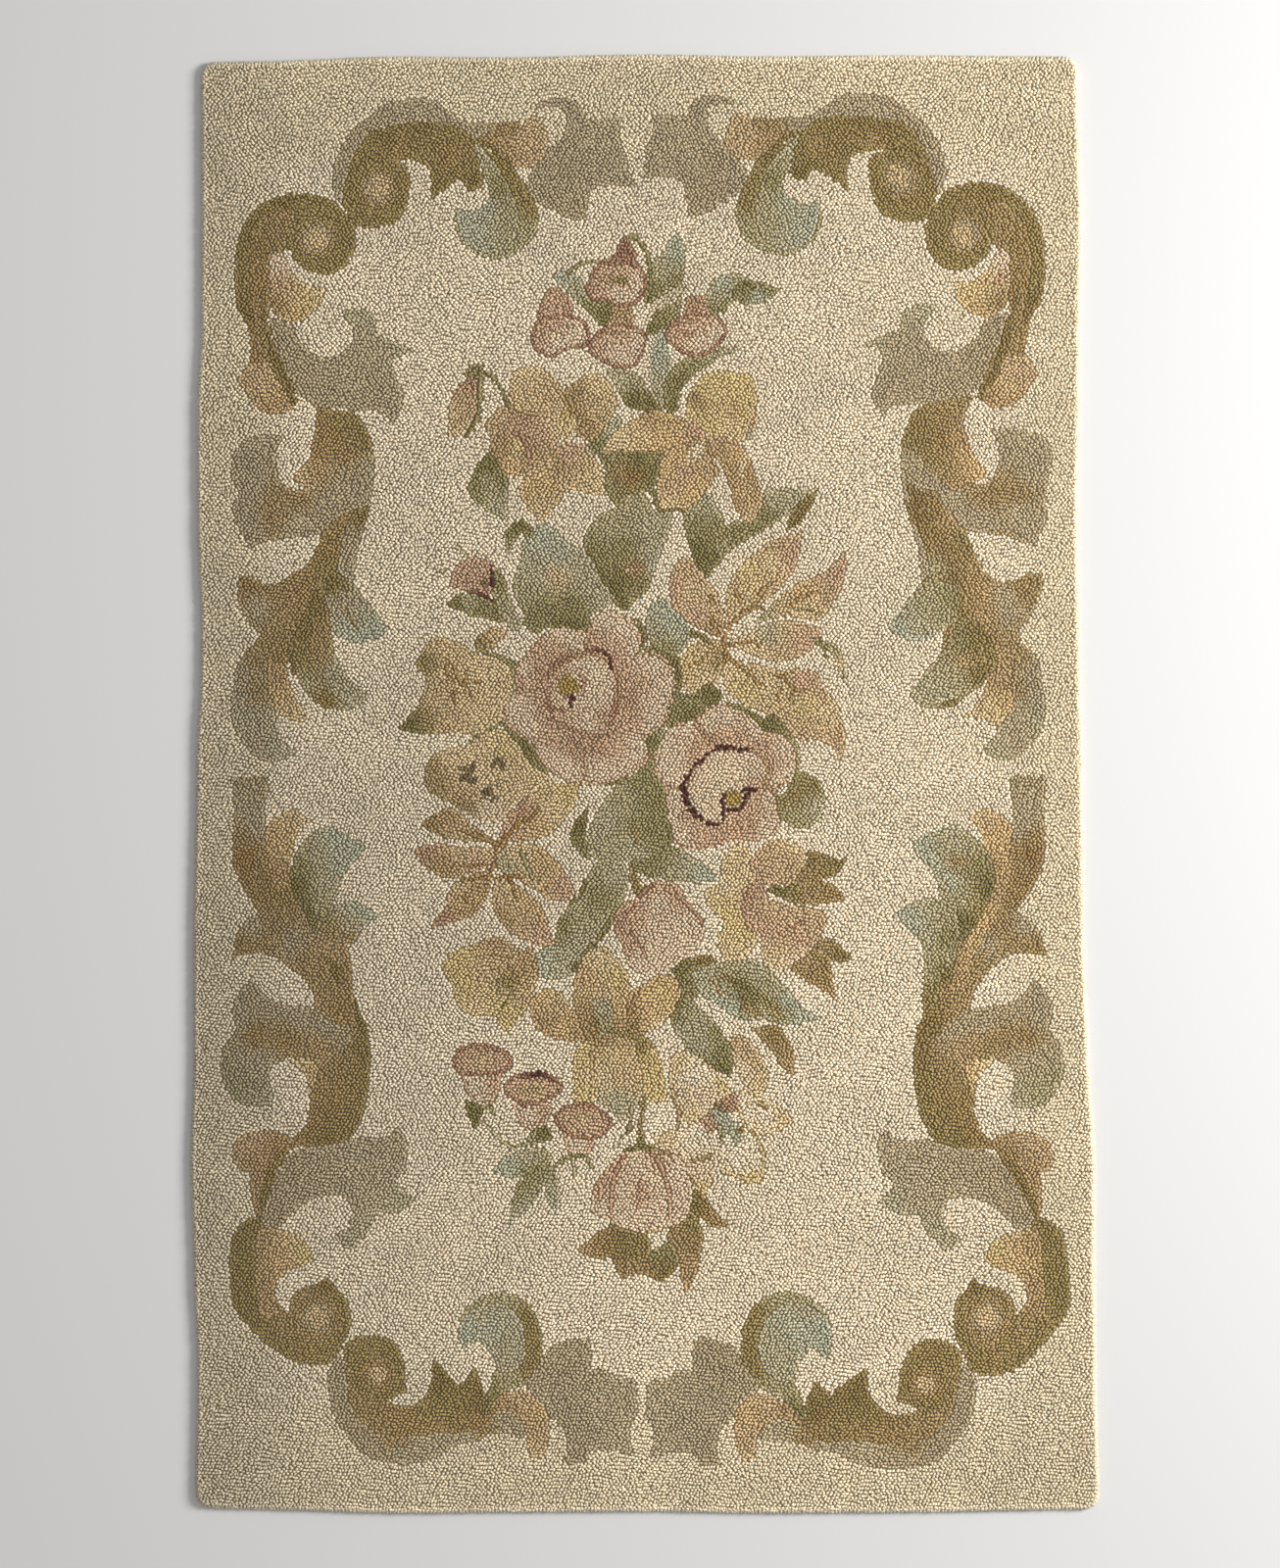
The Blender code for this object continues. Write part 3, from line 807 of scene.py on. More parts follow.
def paintMiddleLeaves(ground):
    # Broad leaves, buds and the upper autumn leaf
    ground.patch(
        "3,182 0,160 5,143 18,135 30,131 42,143 46,157 38,173 28,186 14,190",
        "20,172,blue 35,155,blue 8,160,sage 20,140,moss 35,140,leaf",
    )
    ground.patch(
        "28,280! 8,282 -5,300 -28,286 -50,275 -62,258 -65,242! -56,225 -46,210 -36,190 -22,178 -10,190 "
        "2,200 10,225 20,250",
        "5,265,sage -40,262,leaf -50,235,moss -10,198,moss -22,240,moss -10,220,brown 8,240,sage "
        "-28,208,mossDark -10,285,leaf 10,225,blue",
    )
    ground.stroke("-60,236,3 -48,218,4 -36,200,4 -22,182,3", "mossDark")
    ground.stroke("-22,220,1.8 -10,220,2.2 0,221,1.8", "copper")
    ground.patch(
        "-121,262 -128,245 -131,225 -136,210 -134,190 -124,175 -128,165 -110,152! -104,160 -80,160 "
        "-60,158 -54,175 -36,184 -32,192! -45,208 -52,225 -64,240 -78,246 -90,258 -105,266",
        "-108,250,blue -120,225,sage -75,228,sage -100,180,moss -75,182,moss -130,195,leaf -92,212,tan "
        "-110,210,sage -65,210,sage -48,193,sage -118,168,moss -80,165,mossDark -90,240,blue",
    )
    ground.stroke("-52,205,1.6 -58,190,1.6", "moss")
    ground.stroke("-141,241,3 -139,256,6 -129,264,7 -119,257,4", "leaf moss mossDark moss")
    # rosebud
    ground.patch(
        "-205,184! -190,196 -168,193 -152,182 -129,163! -150,166 -176,172",
        "-185,188,leaf -160,178,moss -140,170,moss -195,183,mossDark",
    )
    ground.patch(
        "-152,222! -143,204 -138,185 -127,163 -140,160 -157,192 -158,208",
        "-148,208,moss -148,190,leaf -135,168,sage",
    )
    ground.patch(
        "-203,204! -198,222 -184,231 -166,233 -157,222 -157,202 -165,194 -182,197",
        "-175,225,rose -190,212,rose -168,208,roseDeep -180,203,rose",
    )
    ground.stroke("-159,224,1.8 -158,212,2 -158,199,1.8", "maroon")
    ground.stroke("-190,199,1.6 -175,197,1.6 -165,193,1.8 -158,189,1.6", "rosewood maroon")
    ground.spot((-164, 206), (4, 4), "plum plum")
    ground.stroke("-196,248,2 -191,242,3 -186,234,2", "sage leaf")
    ground.stroke("-214,220,1.6 -206,217,2", "sage sage")
    # small two-coloured leaf
    ground.patch(
        "-178,147! -166,158 -152,162 -142,158! -150,148 -158,139 -170,137",
        "-170,145,olive -158,155,orange -150,150,tan",
    )
    ground.stroke("-172,137,1.8 -158,134,2 -148,130,2 -137,123,2", "moss mossDark")
    # upper autumn leaf
    # outline, shades
    leaflets = [
        (
            "80,150! 62,156 45,165 33,175 25,190 24,212 33,229 44,232 55,221 66,205 76,188 80,168",
            "40,218,peach 30,200,rose 45,195,straw 50,172,rose 68,185,tan 72,160,copper",
        ),
        (
            "81,160! 82,190 89,214 104,231 122,246 140,254 159,259! 158,240 152,220 141,205 125,190 "
            "105,175",
            "110,210,yellow 140,246,peach 150,235,rose 95,200,tan 125,205,peach 92,178,tan 130,228,straw",
        ),
        (
            "108,162! 128,183 150,203 178,215 193,227 205,241! 205,218 198,196 186,178 176,168 150,172 "
            "128,170",
            "192,217,rose 185,195,peach 160,195,orange 140,182,tan 170,180,straw 125,174,leaf",
        ),
        (
            "84,146! 102,155 122,164 145,168 166,165 181,157 176,146 165,135 150,129 132,126 112,131",
            "162,150,rose 125,155,sage 140,138,peach 110,145,straw 150,160,tan",
        ),
        (
            "80,135! 92,127 112,123 135,117 157,118 175,114 182,100 195,84 202,62 205,44 200,24! 191,38 "
            "175,45 156,46 142,60 128,71 113,76 98,84 86,92 79,104 76,120",
            "100,95,yellow 110,112,tan 130,100,straw 165,105,rose 165,80,yellow 185,75,straw 165,55,peach "
            "196,40,peach 140,80,tan 90,115,straw 185,95,peach",
        ),
        (
            "80,138! 77,115 70,101 56,93 42,95 33,108 31,122 42,138 58,148 74,147",
            "45,100,tan 42,125,yellow 60,110,straw 62,138,tan 72,130,umber",
        ),
    ]
    for outline, shades in leaflets:
        ground.patch(outline, shades)
    veins = [
        "80,140,2 84,160,2 100,176,2.4 112,186,2.2 120,200,2 128,206,1.6",
        "100,178,2 118,181,1.8 126,181,1.6",
        "148,182,1.8 155,190,2.2 165,195,2 178,198,1.6",
        "92,198,1.8 97,188,1.8",
        "80,140,2.4 84,130,3 92,124,2.4 106,113,2 118,102,1.8",
        "82,142,1.8 94,145,1.8 108,147,2 118,142,1.6",
        "66,194,1.8 68,184,1.8",
        "134,112,1.8 143,108,1.8 152,98,1.8 160,95,1.6",
        "140,112,1.6 152,116,1.6",
        "137,100,1.6 136,86,1.6",
        "150,98,1.6 149,84,1.6",
        "82,130,2 75,120,1.6",
        "44,122,1.8 54,125,2.2 62,133,1.6",
        "66,172,1.8 72,158,1.8 79,144,1.8",
    ]
    for vein in veins:
        ground.stroke(vein, "rust brown")
    ground.stroke("158,180,1.6 168,180,1.6 178,174,1.6", "moss olive")
    ground.stroke("42,156,3 55,153,3 66,144,2.5", "moss mossDark")
    ground.stroke("174,146,3 184,144,3.4 196,135,4 204,108,2", "moss leaf tan sage")
    ground.stroke("178,145,2 184,136,2 186,130,1.6", "mossDark")
    ground.patch(
        "18,60 22,80 34,92 52,94 64,105! 78,90 66,78 50,66 36,60",
        "30,75,moss 50,82,moss 66,92,mossDark 45,68,mossDark 22,64,olive",
    )


def paintRoses(ground):
    # Two roses, the pansy and the cream flower at the middle of the bouquet
    ground.stroke("-134,124,3 -137,108,5 -135,96,4 -144,80,4 -149,64,4", "moss leaf moss")
    ground.stroke("-150,62,3 -165,54,3 -180,44,2", "moss mossDark")
    ground.stroke("-146,62,3 -133,48,4 -122,36,6 -114,22,5 -101,13,2", "moss mossDark moss")
    ground.stroke("-8,168,3 -2,152,3 -6,138,3 -14,128,3", "moss mossDark moss")
    ground.stroke("-4,140,3 12,136,3 28,128,4 34,108,4 28,85,4 20,62,4", "moss mossDark moss")
    ground.patch(
        "-4,52! 22,66! 18,44 12,20 18,4 36,-2! 24,-12 8,-4 -8,4 -22,2! -4,20",
        "10,55,leaf 10,30,moss 2,8,moss 25,-4,mossDark 4,45,mossDark",
    )
    ground.stroke("-14,18,3 -24,8,4 -38,0,2", "moss mossDark")
    # first rose
    ground.patch(
        "-142,60 -148,77 -134,90 -136,108 -130,126 -120,140 -108,152 -95,161 -76,160 -60,156 -56,168 "
        "-40,177 -21,173 -8,160 -5,143 -14,130 0,136 18,131 29,113 28,92 19,66 5,55 0,44 2,26 -14,12 "
        "-35,2 -56,-2 -80,3 -96,12 -110,26 -118,42 -130,50",
        "-60,90,rose -60,150,roseDeep -10,90,rose -60,20,rose",
    )
    # outline, shades
    petals = [
        (
            "-110,145 -105,155 -90,161 -75,160 -62,155 -60,145 -70,131 -90,121 -108,126",
            "-90,155,rosePale -72,150,rosePale -85,128,roseDeep -100,140,rose",
        ),
        (
            "-58,155 -55,170 -40,178 -20,172 -8,160 -5,145 -12,130 -18,125 -35,136 -55,140",
            "-40,170,rosePale -18,158,rosePale -50,148,rose -28,142,rose -12,140,rosePale",
        ),
        (
            "-18,125 0,134 15,129 26,115 28,98 22,75 14,58 0,51 -15,55 -25,60 -22,90",
            "12,122,rosePale 20,95,rosePale 8,65,rosePale -8,100,rose -12,70,rose -18,85,roseDeep "
            "0,85,rosePale",
        ),
        (
            "-65,5 -50,1 -30,4 -10,16 1,32 -1,48 -20,54 -45,49 -60,44 -65,25",
            "-40,10,rosePale -10,28,rosePale -30,40,rose -54,38,roseDeep -8,45,rosePale -55,15,rosePale",
        ),
        (
            "-112,45 -112,30 -100,15 -82,3 -67,3 -64,25 -70,48 -90,58",
            "-102,25,rosePale -80,12,rosePale -85,42,rose -74,38,roseDeep -95,48,rose -90,25,rosePale",
        ),
        (
            "-145,80 -140,88 -125,93 -105,95 -100,75 -95,64 -105,51 -120,46 -132,55 -143,65",
            "-135,75,rosePale -120,58,rosePale -106,68,rose -110,88,rose -125,80,rosePale",
        ),
        (
            "-135,113 -130,125 -120,135 -111,141 -101,122 -104,101 -120,97 -132,100",
            "-126,118,rosePale -108,112,roseDeep -112,132,rose -125,102,rose",
        ),
        (
            "-99,92 -95,113 -80,126 -60,132 -43,127 -33,112 -29,92 -33,70 -45,57 -65,54 -85,60 -96,74",
            "-50,114,paleCream -45,88,rosePale -60,68,rosePale -80,72,rose -88,112,rose -62,96,rosePale "
            "-66,116,rosePale -45,70,rose -75,84,paleCream",
        ),
    ]
    for outline, shades in petals:
        ground.patch(outline, shades, "rose", 1.6)
    # route, tones from its start to its end
    folds = [
        ("-104,106,3 -96,120,4 -82,130,4 -66,134,3", "roseDeep rosewood roseDeep"),
        ("-60,137,2 -50,138,2.2 -40,133,2.2 -35,120,2", "rosewood maroon maroon"),
        ("-31,118,3 -28,100,4 -31,82,4 -36,62,3", "roseDeep roseDeep rosewood roseDeep"),
        ("-99,68,2 -84,59,3 -68,53,3 -52,49,3 -36,52,2", "rosewood roseDeep rosewood"),
        ("-99,104,2 -102,88,3 -98,78,3 -86,76,2.4", "rose rosewood rosewood"),
        ("-70,118,2 -64,106,2.4 -66,94,2", "rose rosewood roseDeep"),
        ("-67,46,3 -66,30,3 -61,10,2", "roseDeep roseDeep rose"),
        ("-58,160,2 -62,148,2 -62,140,2", "roseDeep roseDeep"),
        ("-126,96,2 -115,95,2 -106,92,2", "roseDeep rose"),
        ("-108,45,2 -96,42,2 -84,50,2", "rose roseDeep"),
    ]
    for route, tones in folds:
        ground.stroke(route, tones)
    ground.spot((-80, 101), (11, 11), "heart heart olive")
    ground.stroke("-82,91,2 -76,90,3.4 -78,80,2", "rosewood maroon maroon")
    # pansy
    ground.patch(
        "-204,149! -216,151 -229,140 -236,120 -226,111! -229,95 -237,78 -256,57! -240,53 -215,51 -196,54 "
        "-178,48 -162,57 -150,64 -145,80 -137,94 -140,120 -152,129 -174,135 -190,144",
        "-160,112,straw -158,82,straw -190,66,tan -226,125,olive -205,135,tan -218,85,tan "
        "-240,62,mossDark -248,58,mossDark -228,66,umber -175,125,straw -185,85,tan -210,112,tan "
        "-205,62,tan -222,144,tan -172,70,straw",
    )
    streaks = [
        "-205,126,2 -204,114,2.2 -200,104,2",
        "-197,120,2 -194,110,2.6 -187,101,2.6",
        "-185,118,1.6 -186,106,2",
        "-180,107,1.8 -170,105,1.6",
        "-196,98,2.4 -199,90,3 -197,82,2",
        "-186,95,1.8 -178,90,1.6",
    ]
    for streak in streaks:
        ground.stroke(streak, "brown rust")
    ground.stroke("-168,136,1.8 -152,131,2 -140,122,2", "moss")
    # cream flower
    ground.patch(
        "-196,38 -178,44 -162,55 -146,55 -131,40 -118,20 -100,8 -96,-2! -118,-10 -134,-22 -150,-38 "
        "-172,-36 -184,-31 -200,-20 -215,-13 -228,0 -226,18 -216,32",
        "-160,38,straw -182,30,straw -135,12,straw -160,-26,paleCream -222,16,umber -207,-8,umber "
        "-190,-22,umber -195,-6,tan -200,25,straw -168,12,straw -145,0,tan -130,-8,straw -150,30,yellow",
    )
    marks = [
        "-192,16,2 -182,14,3.4 -174,18,2",
        "-190,6,2 -183,6,4 -175,5,2",
        "-184,2,1.8 -180,12,3 -178,20,1.8",
        "-157,20,3 -152,22,3.4 -147,14,2",
        "-150,26,1.8 -147,20,1.8",
        "-168,-12,2.4 -163,-8,4 -155,-14,2",
        "-162,-2,1.8 -160,-10,2.4 -157,-19,1.8",
    ]
    for mark in marks:
        ground.stroke(mark, "plum plum")
    # second rose with its dark spiral
    ground.stroke("84,82,3 98,76,4 112,70,4 120,62,3", "moss mossDark")
    ground.patch("118,58 124,70 132,72 142,62 150,44! 140,50 128,52", "130,62,mossDark 144,52,moss")
    ground.stroke("146,50,2 154,36,3 156,22,3 152,8,3", "moss leaf moss")
    ground.patch(
        "148,10! 164,11 178,2 184,-15 180,-34 166,-45 150,-44 138,-36 133,-22 128,-7! 142,-10",
        "165,0,olive 150,-12,olive 172,-25,sage 150,-32,leaf 140,-35,moss 160,8,moss",
    )
    ground.patch(
        "8,20 11,38 22,55 35,62 48,62 60,75 78,82 96,75 112,65 121,54 135,50 148,42 153,25 152,6 140,-2 "
        "132,-10 135,-25 138,-42 130,-53 110,-58 92,-56 70,-65 50,-67 30,-61 22,-42 21,-20 14,-4",
        "50,40,rose 110,40,rose 50,-40,rose 110,-30,roseDeep",
    )
    petals = [
        (
            "54,62 62,75 78,81 95,76 112,66 121,52 115,43 105,39 85,38 70,38 60,48",
            "80,74,rosePale 65,60,rosePale 110,58,rosePale 85,45,rose 100,50,rose 70,45,roseDeep",
        ),
        (
            "9,20 12,40 22,56 37,62 49,60 60,46 62,34 52,20 42,6 38,-3 25,-2 14,5",
            "22,45,rosePale 15,20,rosePale 38,55,rosePale 48,30,rose 30,10,rosePale 52,42,rose "
            "32,30,rosePale",
        ),
        (
            "118,50 130,53 142,48 152,35 154,15 150,4 140,0 128,-5 126,12 125,27 115,39",
            "142,38,rosePale 148,15,rosePale 130,18,rose 124,42,rose 137,4,rosePale",
        ),
        (
            "25,-5 38,-9 42,-22 55,-36 70,-45 76,-48 70,-59 55,-66 38,-63 28,-56 22,-40 21,-20",
            "28,-35,rosePale 35,-55,rosePale 42,-32,rose 60,-54,rose 30,-15,rosePale",
        ),
        (
            "80,-46 95,-47 106,-32 113,-13 121,-6 131,-10 135,-28 138,-42 129,-54 106,-59 82,-58",
            "122,-45,rosePale 95,-54,rose 115,-28,rose 128,-20,rosePale 104,-42,roseDeep",
        ),
        (
            "60,23 70,33 90,35 108,33 122,20 122,0 113,-20 100,-36 80,-41 60,-37 46,-24 42,-6 48,10",
            "80,10,paleCream 60,-15,paleCream 105,20,rosePale 70,-32,paleCream 110,-5,rose 95,-30,rose "
            "62,15,rosePale 96,4,rosePale",
        ),
    ]
    for outline, shades in petals:
        ground.patch(outline, shades, "rose", 1.6)
    ground.stroke("52,62,2 60,50,3 68,40,2", "roseDeep roseDeep")
    ground.stroke("104,36,2 116,44,2.4 122,52,2", "roseDeep rose")
    ground.stroke("108,36,2 120,28,2.4 127,16,3 122,2,2 118,-10,3 114,-26,2", "roseDeep copper rose")
    ground.stroke(
        "105,36,2.2 92,36,2.4 76,37,2.4 64,31,2 56,24,2 46,12,2.6 40,0,2.6 40,-12,3 44,-22,3.4 50,-31,2.6 "
        "58,-36,1.8",
        "maroon maroon",
    )
    ground.stroke("62,-40,2 70,-42,2.4 74,-42,1.8", "maroon")
    ground.stroke("30,-3,1.8 38,-4,2", "rosewood maroon")
    ground.stroke("80,-10,2 79,-20,2.2 82,-26,2 92,-27,2 99,-24,2.2 103,-12,2.4 112,-7,2", "maroon")
    ground.stroke("98,-8,2.2 104,-5,2.6 112,-6,2", "maroon")
    ground.stroke("80,-26,1.8 79,-38,1.8", "maroon")
    ground.spot((90, -15), (9, 8), "heart heart olive")


def paintLowerLeaves(ground):
    # Leaves and blooms below the roses
    ground.patch(
        "-26,2 -36,-8 -48,-25 -58,-45 -60,-65 -50,-79 -28,-80 -5,-79 14,-72 24,-60 22,-38 20,-14 16,2 "
        "0,14 -12,9",
        "-42,-45,sage -25,-15,leaf -45,-68,leaf 10,-20,moss 16,-60,moss -5,5,moss -25,-60,leaf 0,-45,moss "
        "-15,-75,sage",
    )
    ground.stroke("-14,-36,2 -11,-50,3 -8,-62,2", "brown umber")
    ground.stroke("22,-40,2 25,-55,2.6 22,-68,2", "mossDark")
    ground.patch("-59,-22! -72,-38 -78,-56 -69,-70 -58,-76 -62,-50", "-70,-50,mossDark -64,-66,moss")
    ground.patch(
        "-18,-84 0,-95 20,-99 50,-101 74,-99! 62,-85 42,-71 28,-64 8,-74 -10,-78",
        "-2,-88,moss 15,-78,moss 40,-85,sage 60,-93,blue 25,-92,leaf",
    )
    ground.stroke("-16,-86,3 -11,-102,5 -6,-118,3", "copper olive olive")
    ground.patch(
        "-48,-79 -24,-81 -18,-98 -26,-125 -36,-145 -48,-160 -64,-178 -75,-196 -95,-201 -119,-197! "
        "-113,-175 -96,-162 -90,-142 -76,-121 -63,-100",
        "-34,-95,sage -85,-188,sage -106,-187,blue -68,-160,sage -50,-118,moss -85,-145,moss "
        "-45,-145,leaf -70,-125,leaf -55,-90,leaf",
    )
    ground.stroke("-30,-128,2 -40,-148,3 -56,-168,3 -74,-190,2.4", "moss mossDark")
    ground.stroke("-62,-100,2 -70,-116,2.4 -80,-124,2", "mossDark")
    # lower autumn leaf
    leaflets = [
        (
            "-233,-40! -220,-32 -205,-25 -193,-29 -180,-40 -165,-52 -150,-62! -170,-60 -195,-57 -215,-53",
            "-222,-42,brown -205,-34,copper -190,-45,tan -170,-56,umber",
        ),
        (
            "-237,-68 -228,-63 -212,-62 -190,-65 -165,-66 -153,-67! -160,-83 -180,-94 -200,-97 -216,-93 "
            "-230,-82",
            "-228,-72,roseDeep -210,-84,copper -190,-75,tan -172,-80,rose -165,-70,tan",
        ),
        (
            "-158,-86! -158,-100 -163,-113 -170,-127 -182,-137 -200,-142 -221,-149! -215,-138 -206,-124 "
            "-202,-108 -190,-98 -172,-92",
            "-205,-138,roseDeep -190,-120,orange -172,-102,copper -180,-130,copper -192,-106,tan",
        ),
        (
            "-154,-92! -140,-98 -125,-110 -110,-123 -102,-137 -99,-150 -94,-167! -115,-165 -132,-158 "
            "-147,-145 -156,-130 -158,-112",
            "-140,-120,tan -125,-140,peach -105,-155,rose -145,-105,tan -115,-128,orange -145,-140,copper",
        ),
        (
            "-152,-66! -130,-60 -112,-64 -96,-76 -82,-93 -71,-114! -86,-121 -101,-118 -116,-109 -131,-98 "
            "-146,-91 -153,-80",
            "-135,-75,straw -110,-80,orange -88,-108,rose -120,-98,tan -105,-105,orange -142,-85,leaf",
        ),
        (
            "-153,-62! -148,-45 -140,-29 -125,-14 -105,-2 -86,0 -68,2! -74,-22 -87,-40 -100,-52 -120,-58 "
            "-138,-60",
            "-145,-48,rose -125,-28,roseDeep -115,-42,orange -95,-25,straw -82,-8,yellow -110,-8,tan",
        ),
    ]
    for outline, shades in leaflets:
        ground.patch(outline, shades)
    veins = [
        "-188,-48,1.6 -172,-55,1.8 -156,-61,2.4 -148,-64,2",
        "-152,-62,2.4 -143,-54,3 -134,-42,3 -122,-36,2.4 -110,-26,2",
        "-134,-44,2 -132,-36,1.6",
        "-154,-66,2 -156,-80,2 -162,-94,2 -176,-98,1.8 -190,-99,1.6",
        "-152,-98,1.8 -142,-95,2.6 -126,-96,2",
        "-140,-98,1.8 -136,-110,2 -132,-120,1.6",
        "-188,-114,2 -184,-120,1.6",
        "-200,-84,1.4 -180,-84,1.6 -164,-82,1.4",
    ]
    for vein in veins:
        ground.stroke(vein, "rust rust")
    ground.stroke("-128,-70,1.6 -122,-86,2 -116,-98,1.8 -112,-108,1.6", "moss leaf")
    # brown leaves, peach flower and trumpet at the right
    ground.patch(
        "142,-106 155,-90 167,-69! 182,-72 198,-77 207,-73! 200,-88 186,-98 166,-102",
        "160,-90,umber 185,-84,olive 200,-79,oliveDark 168,-76,oliveDark 172,-96,brown",
    )
    ground.patch(
        "124,-108! 145,-104 165,-101 186,-101 200,-112 206,-119! 180,-123 160,-125 140,-118",
        "140,-110,mossDark 165,-110,umber 190,-112,brown 150,-118,olive",
    )
    ground.patch(
        "60,-110 74,-102 79,-76 95,-60 110,-78 113,-100 101,-112 99,-135 115,-155 109,-172 96,-181 "
        "78,-179 74,-160 79,-140 64,-126",
        "88,-75,straw 92,-98,straw 80,-120,yellow 85,-135,yellow 95,-150,yellow 85,-165,straw "
        "105,-168,straw 68,-112,straw 98,-120,tan 82,-105,paleCream",
    )
    ground.patch(
        "107,-84 116,-66 130,-57 150,-60 166,-72 160,-88 148,-103 130,-104 114,-101",
        "125,-75,peach 148,-78,peach 112,-84,rose 135,-98,peach 155,-68,straw",
    )
    ground.patch(
        "99,-108! 110,-102 121,-104 124,-118 114,-130 99,-140!",
        "110,-110,roseDeep 105,-128,roseDeep 118,-115,rose",
    )
    ground.patch(
        "118,-118 134,-121 150,-125 170,-127 184,-135 183,-150 175,-165 162,-181 145,-190 126,-188 "
        "118,-176 119,-160 109,-146 101,-139 108,-126",
        "125,-128,peach 160,-133,peach 175,-145,peach 130,-152,rose 155,-158,rose 142,-170,tan "
        "128,-178,straw 150,-183,rosePale 112,-138,rose 150,-145,peach",
    )
    ground.stroke("138,-156,2 143,-148,2 154,-145,2 166,-141,1.6", "roseDeep rosewood")
    ground.stroke("102,-141,1.6 110,-150,2 116,-154,1.6", "copper")
    ground.patch(
        "147,-188! 164,-176 180,-160 192,-160 202,-170 211,-178! 200,-184 189,-182! 191,-200 196,-224! "
        "180,-211 160,-200",
        "165,-188,umber 185,-170,umber 200,-177,oliveDark 182,-200,brown 192,-215,copper",
    )
    # pink tulip
    ground.patch(
        "-12,-118 0,-104 15,-99 32,-104 42,-120 54,-136 60,-150 55,-166 42,-180 25,-189 10,-196 -5,-196 "
        "-18,-186 -25,-166 -34,-142 -24,-123",
        "12,-122,rosePale 30,-150,rosePale 5,-150,rosePale 45,-155,rosePale -20,-130,rose -20,-165,rose "
        "20,-178,rosePale -5,-185,rosePale 30,-115,rose -28,-145,roseDeep 8,-108,rose -10,-135,rose",
    )
    ground.stroke("-8,-116,2 0,-108,2.4 8,-103,2", "rosewood")
    ground.stroke("20,-108,2 30,-114,2.2 42,-124,2.2 52,-134,2 59,-146,2", "roseDeep rosewood")
    ground.stroke("-15,-152,2 -10,-162,2.4 -3,-172,2 0,-180,1.6", "rosewood roseDeep")
    ground.stroke("-30,-136,2 -18,-132,3 -10,-124,2", "roseDeep rosewood")
    # yellow flower at the left
    ground.patch(
        "-197,-172 -184,-167 -166,-160 -150,-157 -140,-163 -128,-172 -118,-165! -111,-190 -115,-207 "
        "-120,-226 -134,-246 -143,-257! -152,-246 -158,-238 -180,-238 -195,-226 -200,-206 -211,-190 "
        "-206,-179",
        "-182,-208,yellow -145,-232,yellow -150,-175,tan -128,-190,copper -188,-180,yellow -165,-195,tan "
        "-172,-228,straw -140,-205,olive -125,-215,tan -158,-165,copper",
    )
    ground.stroke("-160,-177,1.6 -148,-176,1.8 -136,-178,1.6", "brown")
    ground.stroke("-140,-190,1.6 -132,-197,1.8 -136,-210,1.6 -146,-230,1.4", "brown olive")


